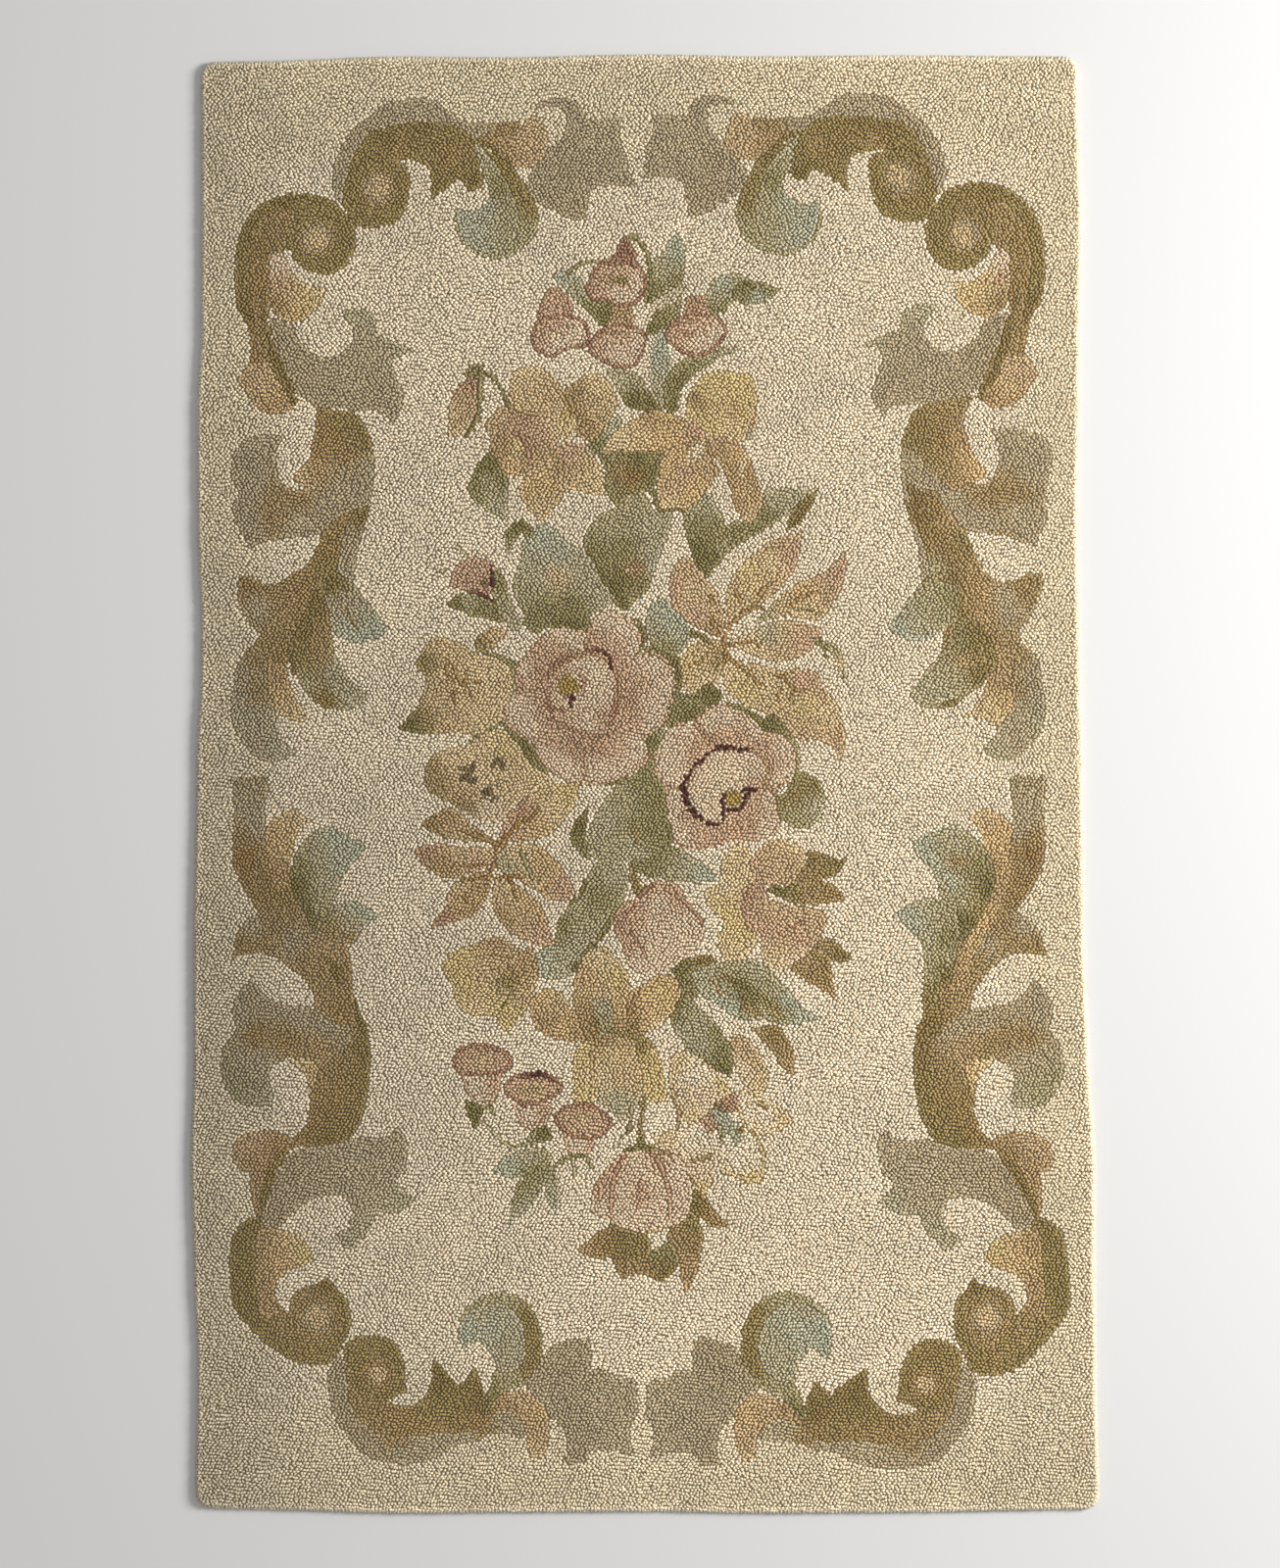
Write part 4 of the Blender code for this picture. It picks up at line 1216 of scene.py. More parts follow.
def paintLowerFlowers(ground):
    # Iris, lily, leaves and bells in the lower part, and the rosebud at the foot
    ground.patch(
        "24,-192! 32,-185 48,-177 66,-178 76,-188 66,-200 56,-213 44,-222 34,-214 32,-200",
        "32,-192,mossDark 45,-195,moss 60,-182,oliveDark 42,-212,moss 66,-186,rust",
    )
    ground.patch(
        "22,-236! 30,-222 42,-217 55,-230 70,-244 82,-262 93,-280 86,-300! 72,-295 55,-286 40,-271 29,-253",
        "30,-230,mossDark 45,-235,leaf 38,-255,sage 60,-265,sage 55,-245,sage 82,-280,moss "
        "78,-292,mossDark 70,-255,moss",
    )
    ground.patch(
        "48,-196 60,-186 85,-182 110,-181 126,-190 140,-205 152,-219 165,-233 180,-241! 160,-246 140,-247 "
        "120,-241 100,-243 85,-236 70,-223 56,-216",
        "62,-205,sage 72,-225,blue 142,-222,blue 112,-190,sage 95,-205,moss 106,-226,mossDark "
        "132,-230,olive 88,-230,blue 165,-240,blue 125,-208,leaf 118,-238,sage 85,-188,leaf",
    )
    ground.stroke("78,-198,3 92,-204,4 108,-214,4 122,-222,3 136,-232,2", "umber mossDark moss olive")
    ground.stroke("98,-220,4 104,-230,5 116,-236,3", "mossDark umber olive")
    ground.stroke("70,-200,2 74,-210,2.4 80,-218,2", "copper tan")
    ground.patch(
        "109,-252! 118,-250 136,-250 146,-265 153,-281 150,-302! 140,-290 126,-271",
        "120,-256,umber 138,-268,umber 148,-288,copper 134,-255,oliveDark",
    )
    ground.patch(
        "87,-262 100,-259 116,-276 126,-300 120,-320 106,-319 96,-302 90,-286",
        "98,-268,peach 110,-285,tan 115,-308,straw 100,-295,paleCream",
    )
    # white lily
    ground.patch(
        "26,-280 46,-277 66,-290 82,-305 88,-316! 76,-330 60,-342 45,-350 34,-338 27,-316 24,-296",
        "50,-300,cream 42,-318,paleCream 60,-325,paleCream 80,-308,yellow 33,-287,straw 48,-342,straw "
        "64,-298,cream 72,-325,paleCream",
        "straw",
        2.2,
    )
    ground.patch(
        "96,-318 110,-321 126,-325 143,-335 150,-348 130,-359 110,-360 97,-345",
        "105,-332,cream 140,-346,straw 122,-342,cream 112,-353,paleCream",
        "straw",
        2.5,
    )
    ground.patch(
        "6,-364! 28,-356 55,-350 72,-362 76,-382 68,-408 58,-428! 46,-410 41,-391 22,-383",
        "20,-368,straw 45,-368,cream 64,-385,paleCream 60,-418,yellow 38,-380,paleCream 56,-398,paleCream "
        "60,-360,cream",
    )
    ground.patch(
        "78,-372 96,-374 112,-380 122,-392 120,-409! 104,-411 82,-402 74,-390",
        "95,-386,cream 112,-406,yellow 86,-398,paleCream 108,-390,cream",
    )
    ground.stroke("25,-300,2 28,-320,2 34,-340,2 32,-352,2", "straw umber umber")
    ground.stroke("108,-357,2 117,-372,2 121,-388,2 119,-402,2", "umber straw")
    ground.stroke("46,-388,2 56,-386,2.4 68,-382,2", "umber olive")
    ground.stroke("42,-392,2 46,-404,2 50,-414,2", "tan olive")
    ground.stroke("103,-330,1.6 112,-327,1.8 124,-332,1.8", "tan olive")
    ground.stroke("78,-396,2 95,-404,2.4 112,-408,2", "straw yellow")
    ground.patch(
        "54,-346! 66,-336 80,-322 92,-319 94,-336 82,-340 72,-356 64,-360",
        "64,-346,rose 84,-328,roseDeep 74,-338,plum",
    )
    ground.patch(
        "68,-336 80,-337 92,-348 99,-360 94,-372! 84,-358 77,-376! 73,-352",
        "78,-342,blue 92,-358,blue 76,-366,moss",
    )
    ground.spot((97, -357), (4, 4.5), "mossDark umber")
    # iris
    ground.patch(
        "-72,-274 -60,-261 -52,-270 -55,-300 -54,-328 -72,-330 -75,-300",
        "-65,-280,yellow -66,-315,yellow -58,-300,straw",
    )
    ground.patch(
        "-16,-256 0,-261 12,-275 18,-300 21,-322 8,-328 -3,-318 -5,-295 -10,-276",
        "4,-280,yellow 8,-310,yellow -4,-270,olive",
    )
    ground.patch(
        "-54,-260 -20,-253 -9,-280 -3,-310 -10,-332 -24,-346 -38,-336 -52,-320",
        "-35,-275,eye -25,-300,tan -45,-300,straw -30,-325,sage -15,-290,tan -42,-262,umber",
    )
    ground.stroke("-54,-262,2 -56,-285,2.2 -54,-310,1.8", "umber copper tan")
    ground.patch(
        "-104,-211 -118,-222 -118,-240 -106,-257 -86,-264 -62,-264 -58,-248 -72,-236 -80,-226 -88,-215",
        "-105,-228,orange -85,-250,orange -100,-245,copper -65,-255,copper -92,-225,tan",
    )
    ground.patch(
        "-70,-190 -60,-172 -45,-167 -30,-178 -19,-196 -17,-215 -20,-235 -20,-252 -36,-256 -50,-262 "
        "-60,-262 -70,-242 -75,-215",
        "-45,-185,straw -60,-200,orange -30,-200,yellow -62,-235,copper -28,-230,orange -26,-248,copper "
        "-52,-210,tan -55,-252,brown -40,-212,tan",
    )
    ground.patch(
        "-55,-226 -46,-220 -36,-224 -34,-245 -40,-256 -50,-254",
        "-45,-232,sage -40,-246,leaf -52,-246,olive",
    )
    ground.patch(
        "-18,-216 -6,-208 8,-198 24,-196 34,-204 35,-218 26,-236 12,-250 -4,-258 -20,-254 -20,-236",
        "15,-215,yellow 5,-235,orange -12,-235,copper -14,-250,brown 25,-205,orange 8,-250,straw "
        "0,-220,orange",
    )
    ground.stroke("-2,-210,2 -12,-222,2 -18,-236,2", "copper rust")
    ground.stroke("-38,-252,3 -26,-256,3.4 -12,-260,2.6", "moss olive")
    # stalks
    ground.stroke("-14,-328,2 -16,-345,2.4 -19,-360,2", "sage plum")
    ground.stroke("-22,-362,1.8 -32,-373,1.8", "sage sage")
    ground.stroke("-2,-322,2.4 -5,-345,3 -5,-362,3 -4,-376,4", "olive umber mossDark")
    # capped bells at the left
    # outline of the cap, its middle, the stalk below it
    caps = [
        (
            "-199,-290 -195,-275 -177,-267 -160,-268 -140,-278 -139,-292 -155,-299 -175,-300 -190,-300",
            (-168, -284),
            "-187,-298 -152,-298 -153,-320 -161,-331 -175,-332 -183,-320",
        ),
        (
            "-147,-315 -140,-303 -130,-298 -105,-298 -90,-305 -86,-315 -100,-325 -115,-331 -130,-330",
            (-117, -314),
            "-136,-328 -99,-328 -102,-348 -116,-358 -129,-350",
        ),
        (
            "-95,-345 -85,-332 -65,-327 -45,-335 -35,-348 -42,-360 -58,-366 -80,-362",
            (-64, -346),
            "-83,-360 -54,-362 -57,-378 -66,-385 -79,-380",
        ),
    ]
    for cap, middle, stalk in caps:
        x, y = middle
        ground.patch(
            stalk,
            [(x - 4, y - 22, "rosePale"), (x + 10, y - 22, "rose"), (x - 12, y - 30, "rosePale")],
            "rose",
            3,
        )
        ground.patch(
            cap,
            [
                (x, y, "tan"),
                (x - 18, y, "rose"),
                (x + 18, y, "rose"),
                (x, y + 12, "roseDeep"),
                (x, y - 12, "rose"),
            ],
            "rosewood",
            3.8,
        )
    ground.stroke("-132,-301,2 -118,-299,3 -102,-300,2.6 -92,-307,2", "rosewood maroon rosewood")
    ground.spot((-115, -315), (12, 7), "copper tan")
    ground.stroke("-184,-328,3 -176,-334,4 -160,-331,3", "mossDark moss")
    ground.leaf((-178, -326), (-175, -353), 15, "mossDark mossDark")
    ground.stroke("-160,-336,1.6 -150,-343,1.6", "moss")
    ground.patch(
        "-117,-356 -100,-352 -97,-366! -108,-368 -118,-372 -122,-364",
        "-108,-360,mossDark -118,-368,leaf",
    )
    ground.stroke("-167,-350,2 -155,-360,2 -145,-370,2 -136,-376,2", "sage leaf")
    ground.stroke("-134,-374,2 -122,-370,3 -114,-362,2", "moss leaf")
    ground.patch(
        "-160,-398! -146,-385 -126,-375 -106,-375 -97,-385 -104,-396 -118,-401 -140,-405",
        "-142,-394,blue -122,-386,sage -106,-388,leaf -116,-398,moss",
    )
    ground.leaf((-104, -392), (-141, -450), 24, "moss sage blue", "moss moss sage")
    ground.leaf((-100, -392), (-93, -442), 15, "moss sage blue")
    ground.stroke("-99,-402,2.4 -92,-391,3 -82,-384,3 -70,-383,2.4 -60,-384,2", "leaf moss mossDark")
    ground.stroke("-62,-382,2 -58,-390,2 -53,-399,1.6", "moss")
    ground.stroke("-75,-386,2 -74,-394,2 -73,-404,1.6", "leaf leaf")
    # rosebud at the foot, with its brown leaves
    ground.patch(
        "45,-414! 55,-420 70,-438 85,-455! 70,-456 56,-447 46,-438",
        "52,-428,oliveDark 66,-444,brown 78,-453,umber",
    )
    ground.patch(
        "46,-438! 54,-448 58,-466 55,-490 50,-508 40,-523! 36,-505 30,-490 23,-472 27,-452",
        "48,-452,olive 34,-465,umber 48,-480,umber 38,-492,copper 41,-514,copper",
    )
    ground.patch(
        "4,-484! 18,-473 28,-474 33,-492 18,-511 2,-506 -14,-502 -12,-486",
        "12,-485,moss 18,-500,oliveDark -2,-498,brown 26,-482,moss",
    )
    ground.patch(
        "-71,-480! -56,-466 -42,-458 -31,-448 -24,-459 -4,-459 4,-470 3,-486 -8,-500 -24,-511! -31,-498 "
        "-36,-487 -50,-488 -62,-485",
        "-58,-476,copper -44,-474,brown -28,-472,oliveDark -8,-470,olive -20,-495,umber -22,-484,oliveDark",
    )
    ground.patch(
        "-56,-425 -50,-408 -38,-392 -22,-378 0,-374 22,-378 36,-386 45,-400 47,-430 38,-449 22,-456 "
        "-5,-461 -26,-456 -36,-450 -54,-442",
        "-8,-395,rosePale -12,-442,rosePale 35,-420,rosePale -35,-397,rose -46,-415,rose 12,-388,rose "
        "12,-440,rosePale -25,-415,rosePale -48,-436,rosePale -2,-420,rose 12,-410,paleCream "
        "32,-396,rosePale",
    )
    ground.stroke("-22,-382,2 -30,-396,2.4 -35,-415,2.4 -36,-444,2", "rosewood roseDeep roseDeep")
    ground.stroke("2,-378,2 12,-388,2.6 19,-402,2.4 24,-425,2.4 25,-447,2", "rosewood roseDeep rose")
    ground.stroke("-6,-403,2 -8,-420,3.4 -6,-436,2", "rose roseDeep rose")
    ground.stroke("-48,-408,2 -46,-420,2.6 -50,-432,1.8", "roseDeep rose")
    ground.stroke("-22,-376,2 -8,-374,3.4 10,-376,3 26,-382,2", "mossDark mossDark roseDeep")
    ground.stroke("2,-461,1.8 14,-458,1.8", "tan")


pileSettings = {
    "seed": 41,
    "pitch": 3.75,         # mm between loops
    "jitter": 0.19,        # share of the pitch by which a loop strays
    "rowSway": 1.6,        # mm by which the rows meander
    "swayLengths": (23.0, 37.0),
    "length": 4.2,         # mm, one loop seen from above
    "width": 3.5,
    "ridge": 0.34,         # share of the length that its top keeps
    "height": 3.6,
    "sink": 3.1,           # mm from a loop's top down to its foot in the cloth
    "sizeSpread": 0.09,
    "turnSpread": 0.70,    # radians
    "leanSpread": 0.20,
    "leanDrift": 0.12,     # lean that neighbours share, as where feet have brushed the pile
    "toneSpread": 0.06,
    "toneDrift": 0.04,
    "brightness": 1.54,    # dyed wool against the tone that shows with its shaded gaps
    "strips": 5,           # the pile is kept in long strips
}


def surfaceOfCad():
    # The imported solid's surface, to stand the loops on
    mesh = bpy.data.objects[nodeObject.name].data
    corners = [v.co.copy() for v in mesh.vertices]
    faces = [list(p.vertices) for p in mesh.polygons]
    return BVHTree.FromPolygons(corners, faces)


def layLoops(surface, settings):
    # Places and normals of all loops, on the face and round the rim
    random = np.random.default_rng(settings["seed"])
    pitch = settings["pitch"] * toMetres
    rows = []
    rowGap = pitch * math.sqrt(3) / 2
    spare = 4
    countY = int((rugHigh.y - rugLow.y) / rowGap) + 2 * spare
    countX = int((rugHigh.x - rugLow.x) / pitch) + 2 * spare
    for j in range(countY):
        shift = pitch / 2 if j % 2 else 0
        x = rugLow.x + shift + pitch * (np.arange(countX) - spare)
        y = np.full(countX, rugLow.y + rowGap * (j - spare))
        rows.append(np.stack((x, y), axis=1))
    flat = np.concatenate(rows)
    # rows meander as they were hooked, and keep their gaps
    sway = settings["rowSway"] * toMetres
    for length, start in zip(settings["swayLengths"], (0.4, 2.1)):
        u = flat[:, 0] / (length * toMetres) * math.pi + start
        v = flat[:, 1] / (length * toMetres) * math.pi - start
        flat = flat + sway * np.stack((-np.sin(u) * np.sin(v), -np.cos(u) * np.cos(v)), axis=1)
    flat += random.uniform(-1, 1, flat.shape) * settings["jitter"] * pitch
    places = []
    normals = []
    top = rugHigh.z + 0.01
    down = Vector((0, 0, -1))
    for x, y in flat:
        place, normal, face, away = surface.ray_cast(Vector((x, y, top)), down)
        if place is not None and normal.z > 0.35:
            places.append(place[:])
            normals.append(normal[:])
    faceCount = len(places)
    # rim: short rows that lean outwards, found from a rounded rectangle outside the rug
    reach = 0.02
    halfX = (rugHigh.x - rugLow.x) / 2
    halfY = (rugHigh.y - rugLow.y) / 2
    middle = (rugLow + rugHigh) / 2
    for level in (0.0018, 0.0044, 0.0066):
        around = rimWalk(halfX, halfY, reach, pitch)
        for x, y in around:
            spot = Vector((middle.x + x, middle.y + y, level + random.uniform(-0.0006, 0.0006)))
            inward = Vector((middle.x + np.clip(x, -halfX + 0.03, halfX - 0.03),
                             middle.y + np.clip(y, -halfY + 0.03, halfY - 0.03), spot.z))
            place, normal, face, away = surface.ray_cast(spot, (inward - spot).normalized())
            if place is not None:
                places.append(place[:])
                normals.append(normal[:])
    return np.array(places), np.array(normals), faceCount


def rimWalk(halfX, halfY, reach, step):
    # Points at even steps on a rectangle with round corners, reach outside the rug
    walk = []
    inset = 0.03
    radius = inset + reach
    longX = 2 * (halfX - inset)
    longY = 2 * (halfY - inset)
    arc = math.pi / 2 * radius
    sides = [
        # corner centre, start of the arc, direction of the straight after it, its length
        ((halfX - inset, halfY - inset), 0.0, (-1, 0), longX),
        ((-halfX + inset, halfY - inset), math.pi / 2, (0, -1), longY),
        ((-halfX + inset, -halfY + inset), math.pi, (1, 0), longX),
        ((halfX - inset, -halfY + inset), 1.5 * math.pi, (0, 1), longY),
    ]
    for centre, start, direction, length in sides:
        turns = max(2, int(arc * 0.55 / step))
        for k in range(turns):
            angle = start + math.pi / 2 * k / turns
            walk.append((centre[0] + radius * math.cos(angle), centre[1] + radius * math.sin(angle)))
        end = start + math.pi / 2
        parts = int(length / step)
        for k in range(parts):
            walk.append((centre[0] + radius * math.cos(end) + direction[0] * length * k / parts,
                         centre[1] + radius * math.sin(end) + direction[1] * length * k / parts))
    return walk


nodeObject = next(o for o in bpy.data.objects if o.type == "MESH" and o.name.startswith("hooked_rug"))
surface = surfaceOfCad()
places, normals, faceCount = layLoops(surface, pileSettings)
print("loops laid:", len(places), "of them on the face:", faceCount)

random = np.random.default_rng(pileSettings["seed"] + 1)
loopCount = len(places)
pile = {
    "x": places[:, 0] / toMetres,
    "y": places[:, 1] / toMetres,
    "stray": random.uniform(-1, 1, loopCount),
    "tone": np.zeros((loopCount, 3)),
    "turn": np.zeros(loopCount),
    "shift": np.zeros((loopCount, 2)),
}


def paintGround(pile):
    # Cream middle, slightly yellower border, loops in meandering rows
    x = pile["x"]
    y = pile["y"]
    inner = np.maximum(np.abs(x) - 385, np.abs(y) - 640)
    share = np.clip(inner / 30 + 0.5, 0, 1)[:, None]
    pile["tone"][:] = toneOf("cream") * (1 - share) + toneOf("oatmeal") * share
    pile["turn"][:] = (
        1.1 * np.sin(x / 61.0 + 1.7 * np.sin(y / 47.0))
        + 1.3 * np.cos(y / 53.0 + 1.3 * np.sin(x / 71.0))
    )


def ageTones(pile):
    # Painted light and shade: darker towards the left edge and a little lighter right of the middle, as the
    # lamp at the right falls off, darker towards the bottom corners, and slow patches of painted light and
    # shade
    x = pile["x"]
    y = pile["y"]
    factor = np.interp(x, [-465, -400, -340, 0, 340, 465], [0.90, 0.93, 0.97, 1.0, 1.02, 0.99])
    corner = np.clip((np.abs(x) - 300) / 150, 0, 1) * np.clip((-y - 560) / 160, 0, 1)
    factor -= 0.05 * corner
    patches = [
        # middle, reach and change of tone
        (-420, 430, 190, 0.055),
        (-430, -240, 170, -0.05),
        (-150, 0, 170, -0.03),
        (60, -520, 260, 0.03),
        (250, -250, 200, 0.02),
        (0, 740, 120, -0.02),
    ]
    for middleX, middleY, reach, change in patches:
        away = (x - middleX) ** 2 + (y - middleY) ** 2
        factor += change * np.exp(-away / reach**2)
    pile["tone"] *= factor[:, None]


paintGround(pile)
paintFrame(pile)
bouquet = Ground(pile)
paintBells(bouquet)
paintUpperFlowers(bouquet)
paintMiddleLeaves(bouquet)
paintRoses(bouquet)
paintLowerLeaves(bouquet)
paintLowerFlowers(bouquet)
# painted light and shade on the loops' tones
ageTones(pile)
places[:, :2] += pile["shift"] * toMetres
print("pattern painted")


class Wire:
    # A shader socket that can stand in a Python sum; each operator becomes a Math node
    def __init__(self, shader, socket):
        self.shader = shader
        self.socket = socket

    def math(self, operation, first, second=0.0):
        node = self.shader.add("ShaderNodeMath", {"operation": operation}, {0: first, 1: second})
        return Wire(self.shader, node.outputs[0])

    def __add__(self, other):
        return self.math("ADD", self, other)

    def __sub__(self, other):
        return self.math("SUBTRACT", self, other)

    def __rsub__(self, other):
        return self.math("SUBTRACT", other, self)

    def __mul__(self, other):
        return self.math("MULTIPLY", self, other)

    def __truediv__(self, other):
        return self.math("DIVIDE", self, other)

    __radd__ = __add__
    __rmul__ = __mul__

    def sine(self):
        return self.math("SINE", self)

    def size(self):
        return self.math("ABSOLUTE", self)

    def above(self, level):
        return self.math("GREATER_THAN", self, level)

    def held(self):
        return self.math("MINIMUM", self.math("MAXIMUM", self, 0.0), 1.0)


class Shader:
    # One procedural material in the piece's own coordinates
    def __init__(self, name, sockets):
        self.material = bpy.data.materials.new(name)
        self.material.use_nodes = True
        self.tree = self.material.node_tree
        self.surface = self.tree.nodes["Principled BSDF"]
        self.join(self.surface, sockets)
        self.place = self.out(self.add("ShaderNodeTexCoord", {}, {}), "Object")

    def add(self, kind, settings, sockets):
        node = self.tree.nodes.new(kind)
        for key, value in settings.items():
            setattr(node, key, value)
        self.join(node, sockets)
        return node

    def join(self, node, sockets):
        for key, value in sockets.items():
            if isinstance(value, Wire):
                self.tree.links.new(value.socket, node.inputs[key])
            else:
                node.inputs[key].default_value = value

    def out(self, node, key=0):
        return Wire(self, node.outputs[key])

    def axis(self, key):
        return self.out(self.add("ShaderNodeSeparateXYZ", {}, {0: self.place}), key)

    def attribute(self, name, key):
        return self.out(self.add("ShaderNodeAttribute", {"attribute_name": name}, {}), key)

    def noise(self, scale, detail=2.0):
        sockets = {"Vector": self.place, "Scale": scale, "Detail": detail}
        return self.out(self.add("ShaderNodeTexNoise", {}, sockets), 0)

    def blendTones(self, share, first, second):
        node = self.add("ShaderNodeMix", {"data_type": "RGBA"}, {0: share, 6: first, 7: second})
        return self.out(node, 2)

    def scaleTone(self, tone, factor):
        node = self.add("ShaderNodeVectorMath", {"operation": "SCALE"}, {0: tone, 3: factor})
        return self.out(node)

    def bump(self, height, depth, strength=1.0):
        sockets = {"Height": height, "Distance": depth, "Strength": strength}
        return self.out(self.add("ShaderNodeBump", {}, sockets))


def rgba(tone):
    return tuple(toLinear(np.array(tone, float))) + (1.0,)


yarnSettings = {
    "roughness": 0.92,
    "sheen": 0.08,
    "foot": 0.82,          # painted shade: a loop's brightness at its foot, against 1 at its top
    "fuzz": 0.16,          # unevenness of the dye along the yarn
    "bumpDepth": 0.00035,
    "strandScale": 1500.0,
    "dyeScale": 420.0,
}


def makeYarn(settings):
    shader = Shader("wool_yarn", {
        "Roughness": settings["roughness"],
        "Sheen Weight": settings["sheen"],
        "Sheen Roughness": 0.5,
        "Specular IOR Level": 0.15,
    })
    lift = shader.attribute("lift", "Fac")
    dye = shader.noise(settings["dyeScale"])
    # painted shade: each loop darkens from its top down to its foot, where its neighbours shade it
    shade = settings["foot"] + (1 - settings["foot"]) * lift
    shade = shade * (1 - settings["fuzz"] / 2 + settings["fuzz"] * dye)
    tone = shader.scaleTone(shader.attribute("yarn", "Color"), shade)
    strands = shader.noise(settings["strandScale"], 3.0)
    shader.join(shader.surface, {
        "Base Color": tone,
        "Normal": shader.bump(strands, settings["bumpDepth"]),
    })
    return shader.material


clothSettings = {
    "threads": 620.0,      # threads per metre times pi, so about 2 mm between threads
    # painted shade: one plain tone for the cloth's top, where it shows only in the shaded gaps between
    # loops
    "gapShade": (150, 133, 104),
    "jute": (168, 146, 110),
    "juteDark": (128, 106, 74),
    "hem": 0.030,
    "hemSeam": (108, 88, 60),
    "bumpDepth": 0.0006,
}


def makeFoundation(settings):
    # Plain jute cloth, turned under along the edges, with the hem's stitches
    shader = Shader("foundation_cloth", {"Roughness": 0.95, "Specular IOR Level": 0.1})
    x = shader.axis(0)
    y = shader.axis(1)
    z = shader.axis(2)
    across = (x * settings["threads"] * math.pi).sine()
    along = (y * settings["threads"] * math.pi).sine()
    weave = (across * along) * 0.5 + 0.5
    slub = shader.noise(60.0)
    mottle = (weave * 0.45 + slub * 0.7 - 0.1).held()
    under = shader.blendTones(mottle, rgba(settings["juteDark"]), rgba(settings["jute"]))
    halfX = (rugHigh.x - rugLow.x) / 2 - settings["hem"]
    halfY = (rugHigh.y - rugLow.y) / 2 - settings["hem"]
    awayX = (x.size() - halfX).size()
    awayY = (y.size() - halfY).size()
    seamX = (1 - awayX / 0.0016).held() * (1 - (y.size() - halfY).above(0.0))
    seamY = (1 - awayY / 0.0016).held() * (1 - (x.size() - halfX).above(0.0))
    stitch = ((x + y) * 420.0).sine().above(0.1)
    seam = (seamX + seamY).held() * stitch
    under = shader.blendTones(seam, under, rgba(settings["hemSeam"]))
    # painted shade: above the hem's level the cloth takes that plain gap tone in place of its weave
    tone = shader.blendTones(z.above(0.0012), under, rgba(settings["gapShade"]))
    height = weave + 0.35 * slub - seam * 0.8
    shader.join(shader.surface, {
        "Base Color": tone,
        "Normal": shader.bump(height, settings["bumpDepth"]),
    })
    return shader.material


backingSettings = {
    "sideways": 0.0025,    # m, drawn in from the solid's rim
    "thickness": 0.68,     # share of the solid's thickness
    "flatWidth": 0.915,
    "flatLength": 1.500,
}


def makeBacking(settings, material):
    # The foundation lies in the solid's own form, a little inside it
    bm = bmesh.new()
    bm.from_mesh(nodeObject.data)
    bmesh.ops.remove_doubles(bm, verts=bm.verts, dist=0.000001)
    halfX = (rugHigh.x - rugLow.x) / 2
    halfY = (rugHigh.y - rugLow.y) / 2
    sideways = settings["sideways"]
    inward = Vector((1 - sideways / halfX, 1 - sideways / halfY, settings["thickness"]))
    bmesh.ops.scale(bm, vec=inward, verts=bm.verts)
    bmesh.ops.recalc_face_normals(bm, faces=bm.faces)
    mesh = bpy.data.meshes.new("rug_foundation")
    bm.to_mesh(mesh)
    bm.free()
    mesh.materials.append(material)
    piece = bpy.data.objects.new("rug_foundation", mesh)
    bpy.context.collection.objects.link(piece)
    return piece


def makeLoop(settings):
    # One loop of yarn: a bar that narrows to a short ridge
    bm = bmesh.new()
    bmesh.ops.create_cube(bm, size=1.0)
    for side in (-1, 1):
        end = [v for v in bm.verts if v.co.z > 0 and v.co.x * side > 0]
        ridge = Vector((side * settings["ridge"] / 2, 0, 0.5))
        bmesh.ops.pointmerge(bm, verts=end, merge_co=ridge)
    bmesh.ops.translate(bm, vec=Vector((0, 0, 0.5)), verts=bm.verts)
    bmesh.ops.recalc_face_normals(bm, faces=bm.faces)
    for face in bm.faces:
        face.smooth = True
    lift = bm.verts.layers.float.new("lift")
    for v in bm.verts:
        v[lift] = 1.0 if v.co.z > 0.5 else 0.0
    mesh = bpy.data.meshes.new("yarn_loop")
    bm.to_mesh(mesh)
    bm.free()
    loop = bpy.data.objects.new("yarn_loop", mesh)
    bpy.context.collection.objects.link(loop)
    return loop


def cloud(x, y, cell):
    # Smooth unevenness from -1 to 1 with patches of about the cell's size
    wide = int(1200 / cell) + 3
    tall = int(1700 / cell) + 3
    knots = random.uniform(-1, 1, (wide, tall))
    u = (x + 600) / cell
    v = (y + 850) / cell
    i = u.astype(int)
    j = v.astype(int)
    s = u - i
    t = v - j
    s = s * s * (3 - 2 * s)
    t = t * t * (3 - 2 * t)
    near = knots[i, j] * (1 - s) + knots[i + 1, j] * s
    far = knots[i, j + 1] * (1 - s) + knots[i + 1, j + 1] * s
    return near * (1 - t) + far * t


def loopTurns(settings):
    # Each loop stands on the rug's surface, turned as its row runs, with a little lean of its own
    spread = settings["turnSpread"]
    lean = settings["leanSpread"]
    turns = pile["turn"] + random.normal(0, spread, loopCount)
    leans = random.uniform(-lean, lean, (loopCount, 2))
    brushed = [cloud(pile["x"], pile["y"], 34.0), cloud(pile["x"], pile["y"], 34.0)]
    angles = np.zeros((loopCount, 3))
    upright = Vector((0, 0, 1))
    for i in range(loopCount):
        drift = Vector((brushed[0][i], brushed[1][i], 0)) * settings["leanDrift"]
        stand = upright.rotation_difference(Vector(normals[i]) + drift)
        turned = stand @ Euler((0, 0, turns[i])).to_quaternion()
        turned = turned @ Euler((leans[i, 0], leans[i, 1], 0)).to_quaternion()
        angles[i] = turned.to_euler()[:]
    return angles


def loopSizes(settings):
    spread = settings["sizeSpread"]
    full = np.array((settings["length"], settings["width"], settings["height"])) * toMetres
    return full * (1 + random.uniform(-spread, spread, (loopCount, 3)))


def loopTones(settings):
    # Dye varies from loop to loop and drifts slowly over the rug
    x = pile["x"]
    y = pile["y"]
    drift = cloud(x, y, 38.0) + 0.6 * cloud(x, y, 13.0)
    factor = 1 + random.normal(0, settings["toneSpread"], loopCount) + settings["toneDrift"] * drift
    return toLinear(pile["tone"]) * factor[:, None] * settings["brightness"]


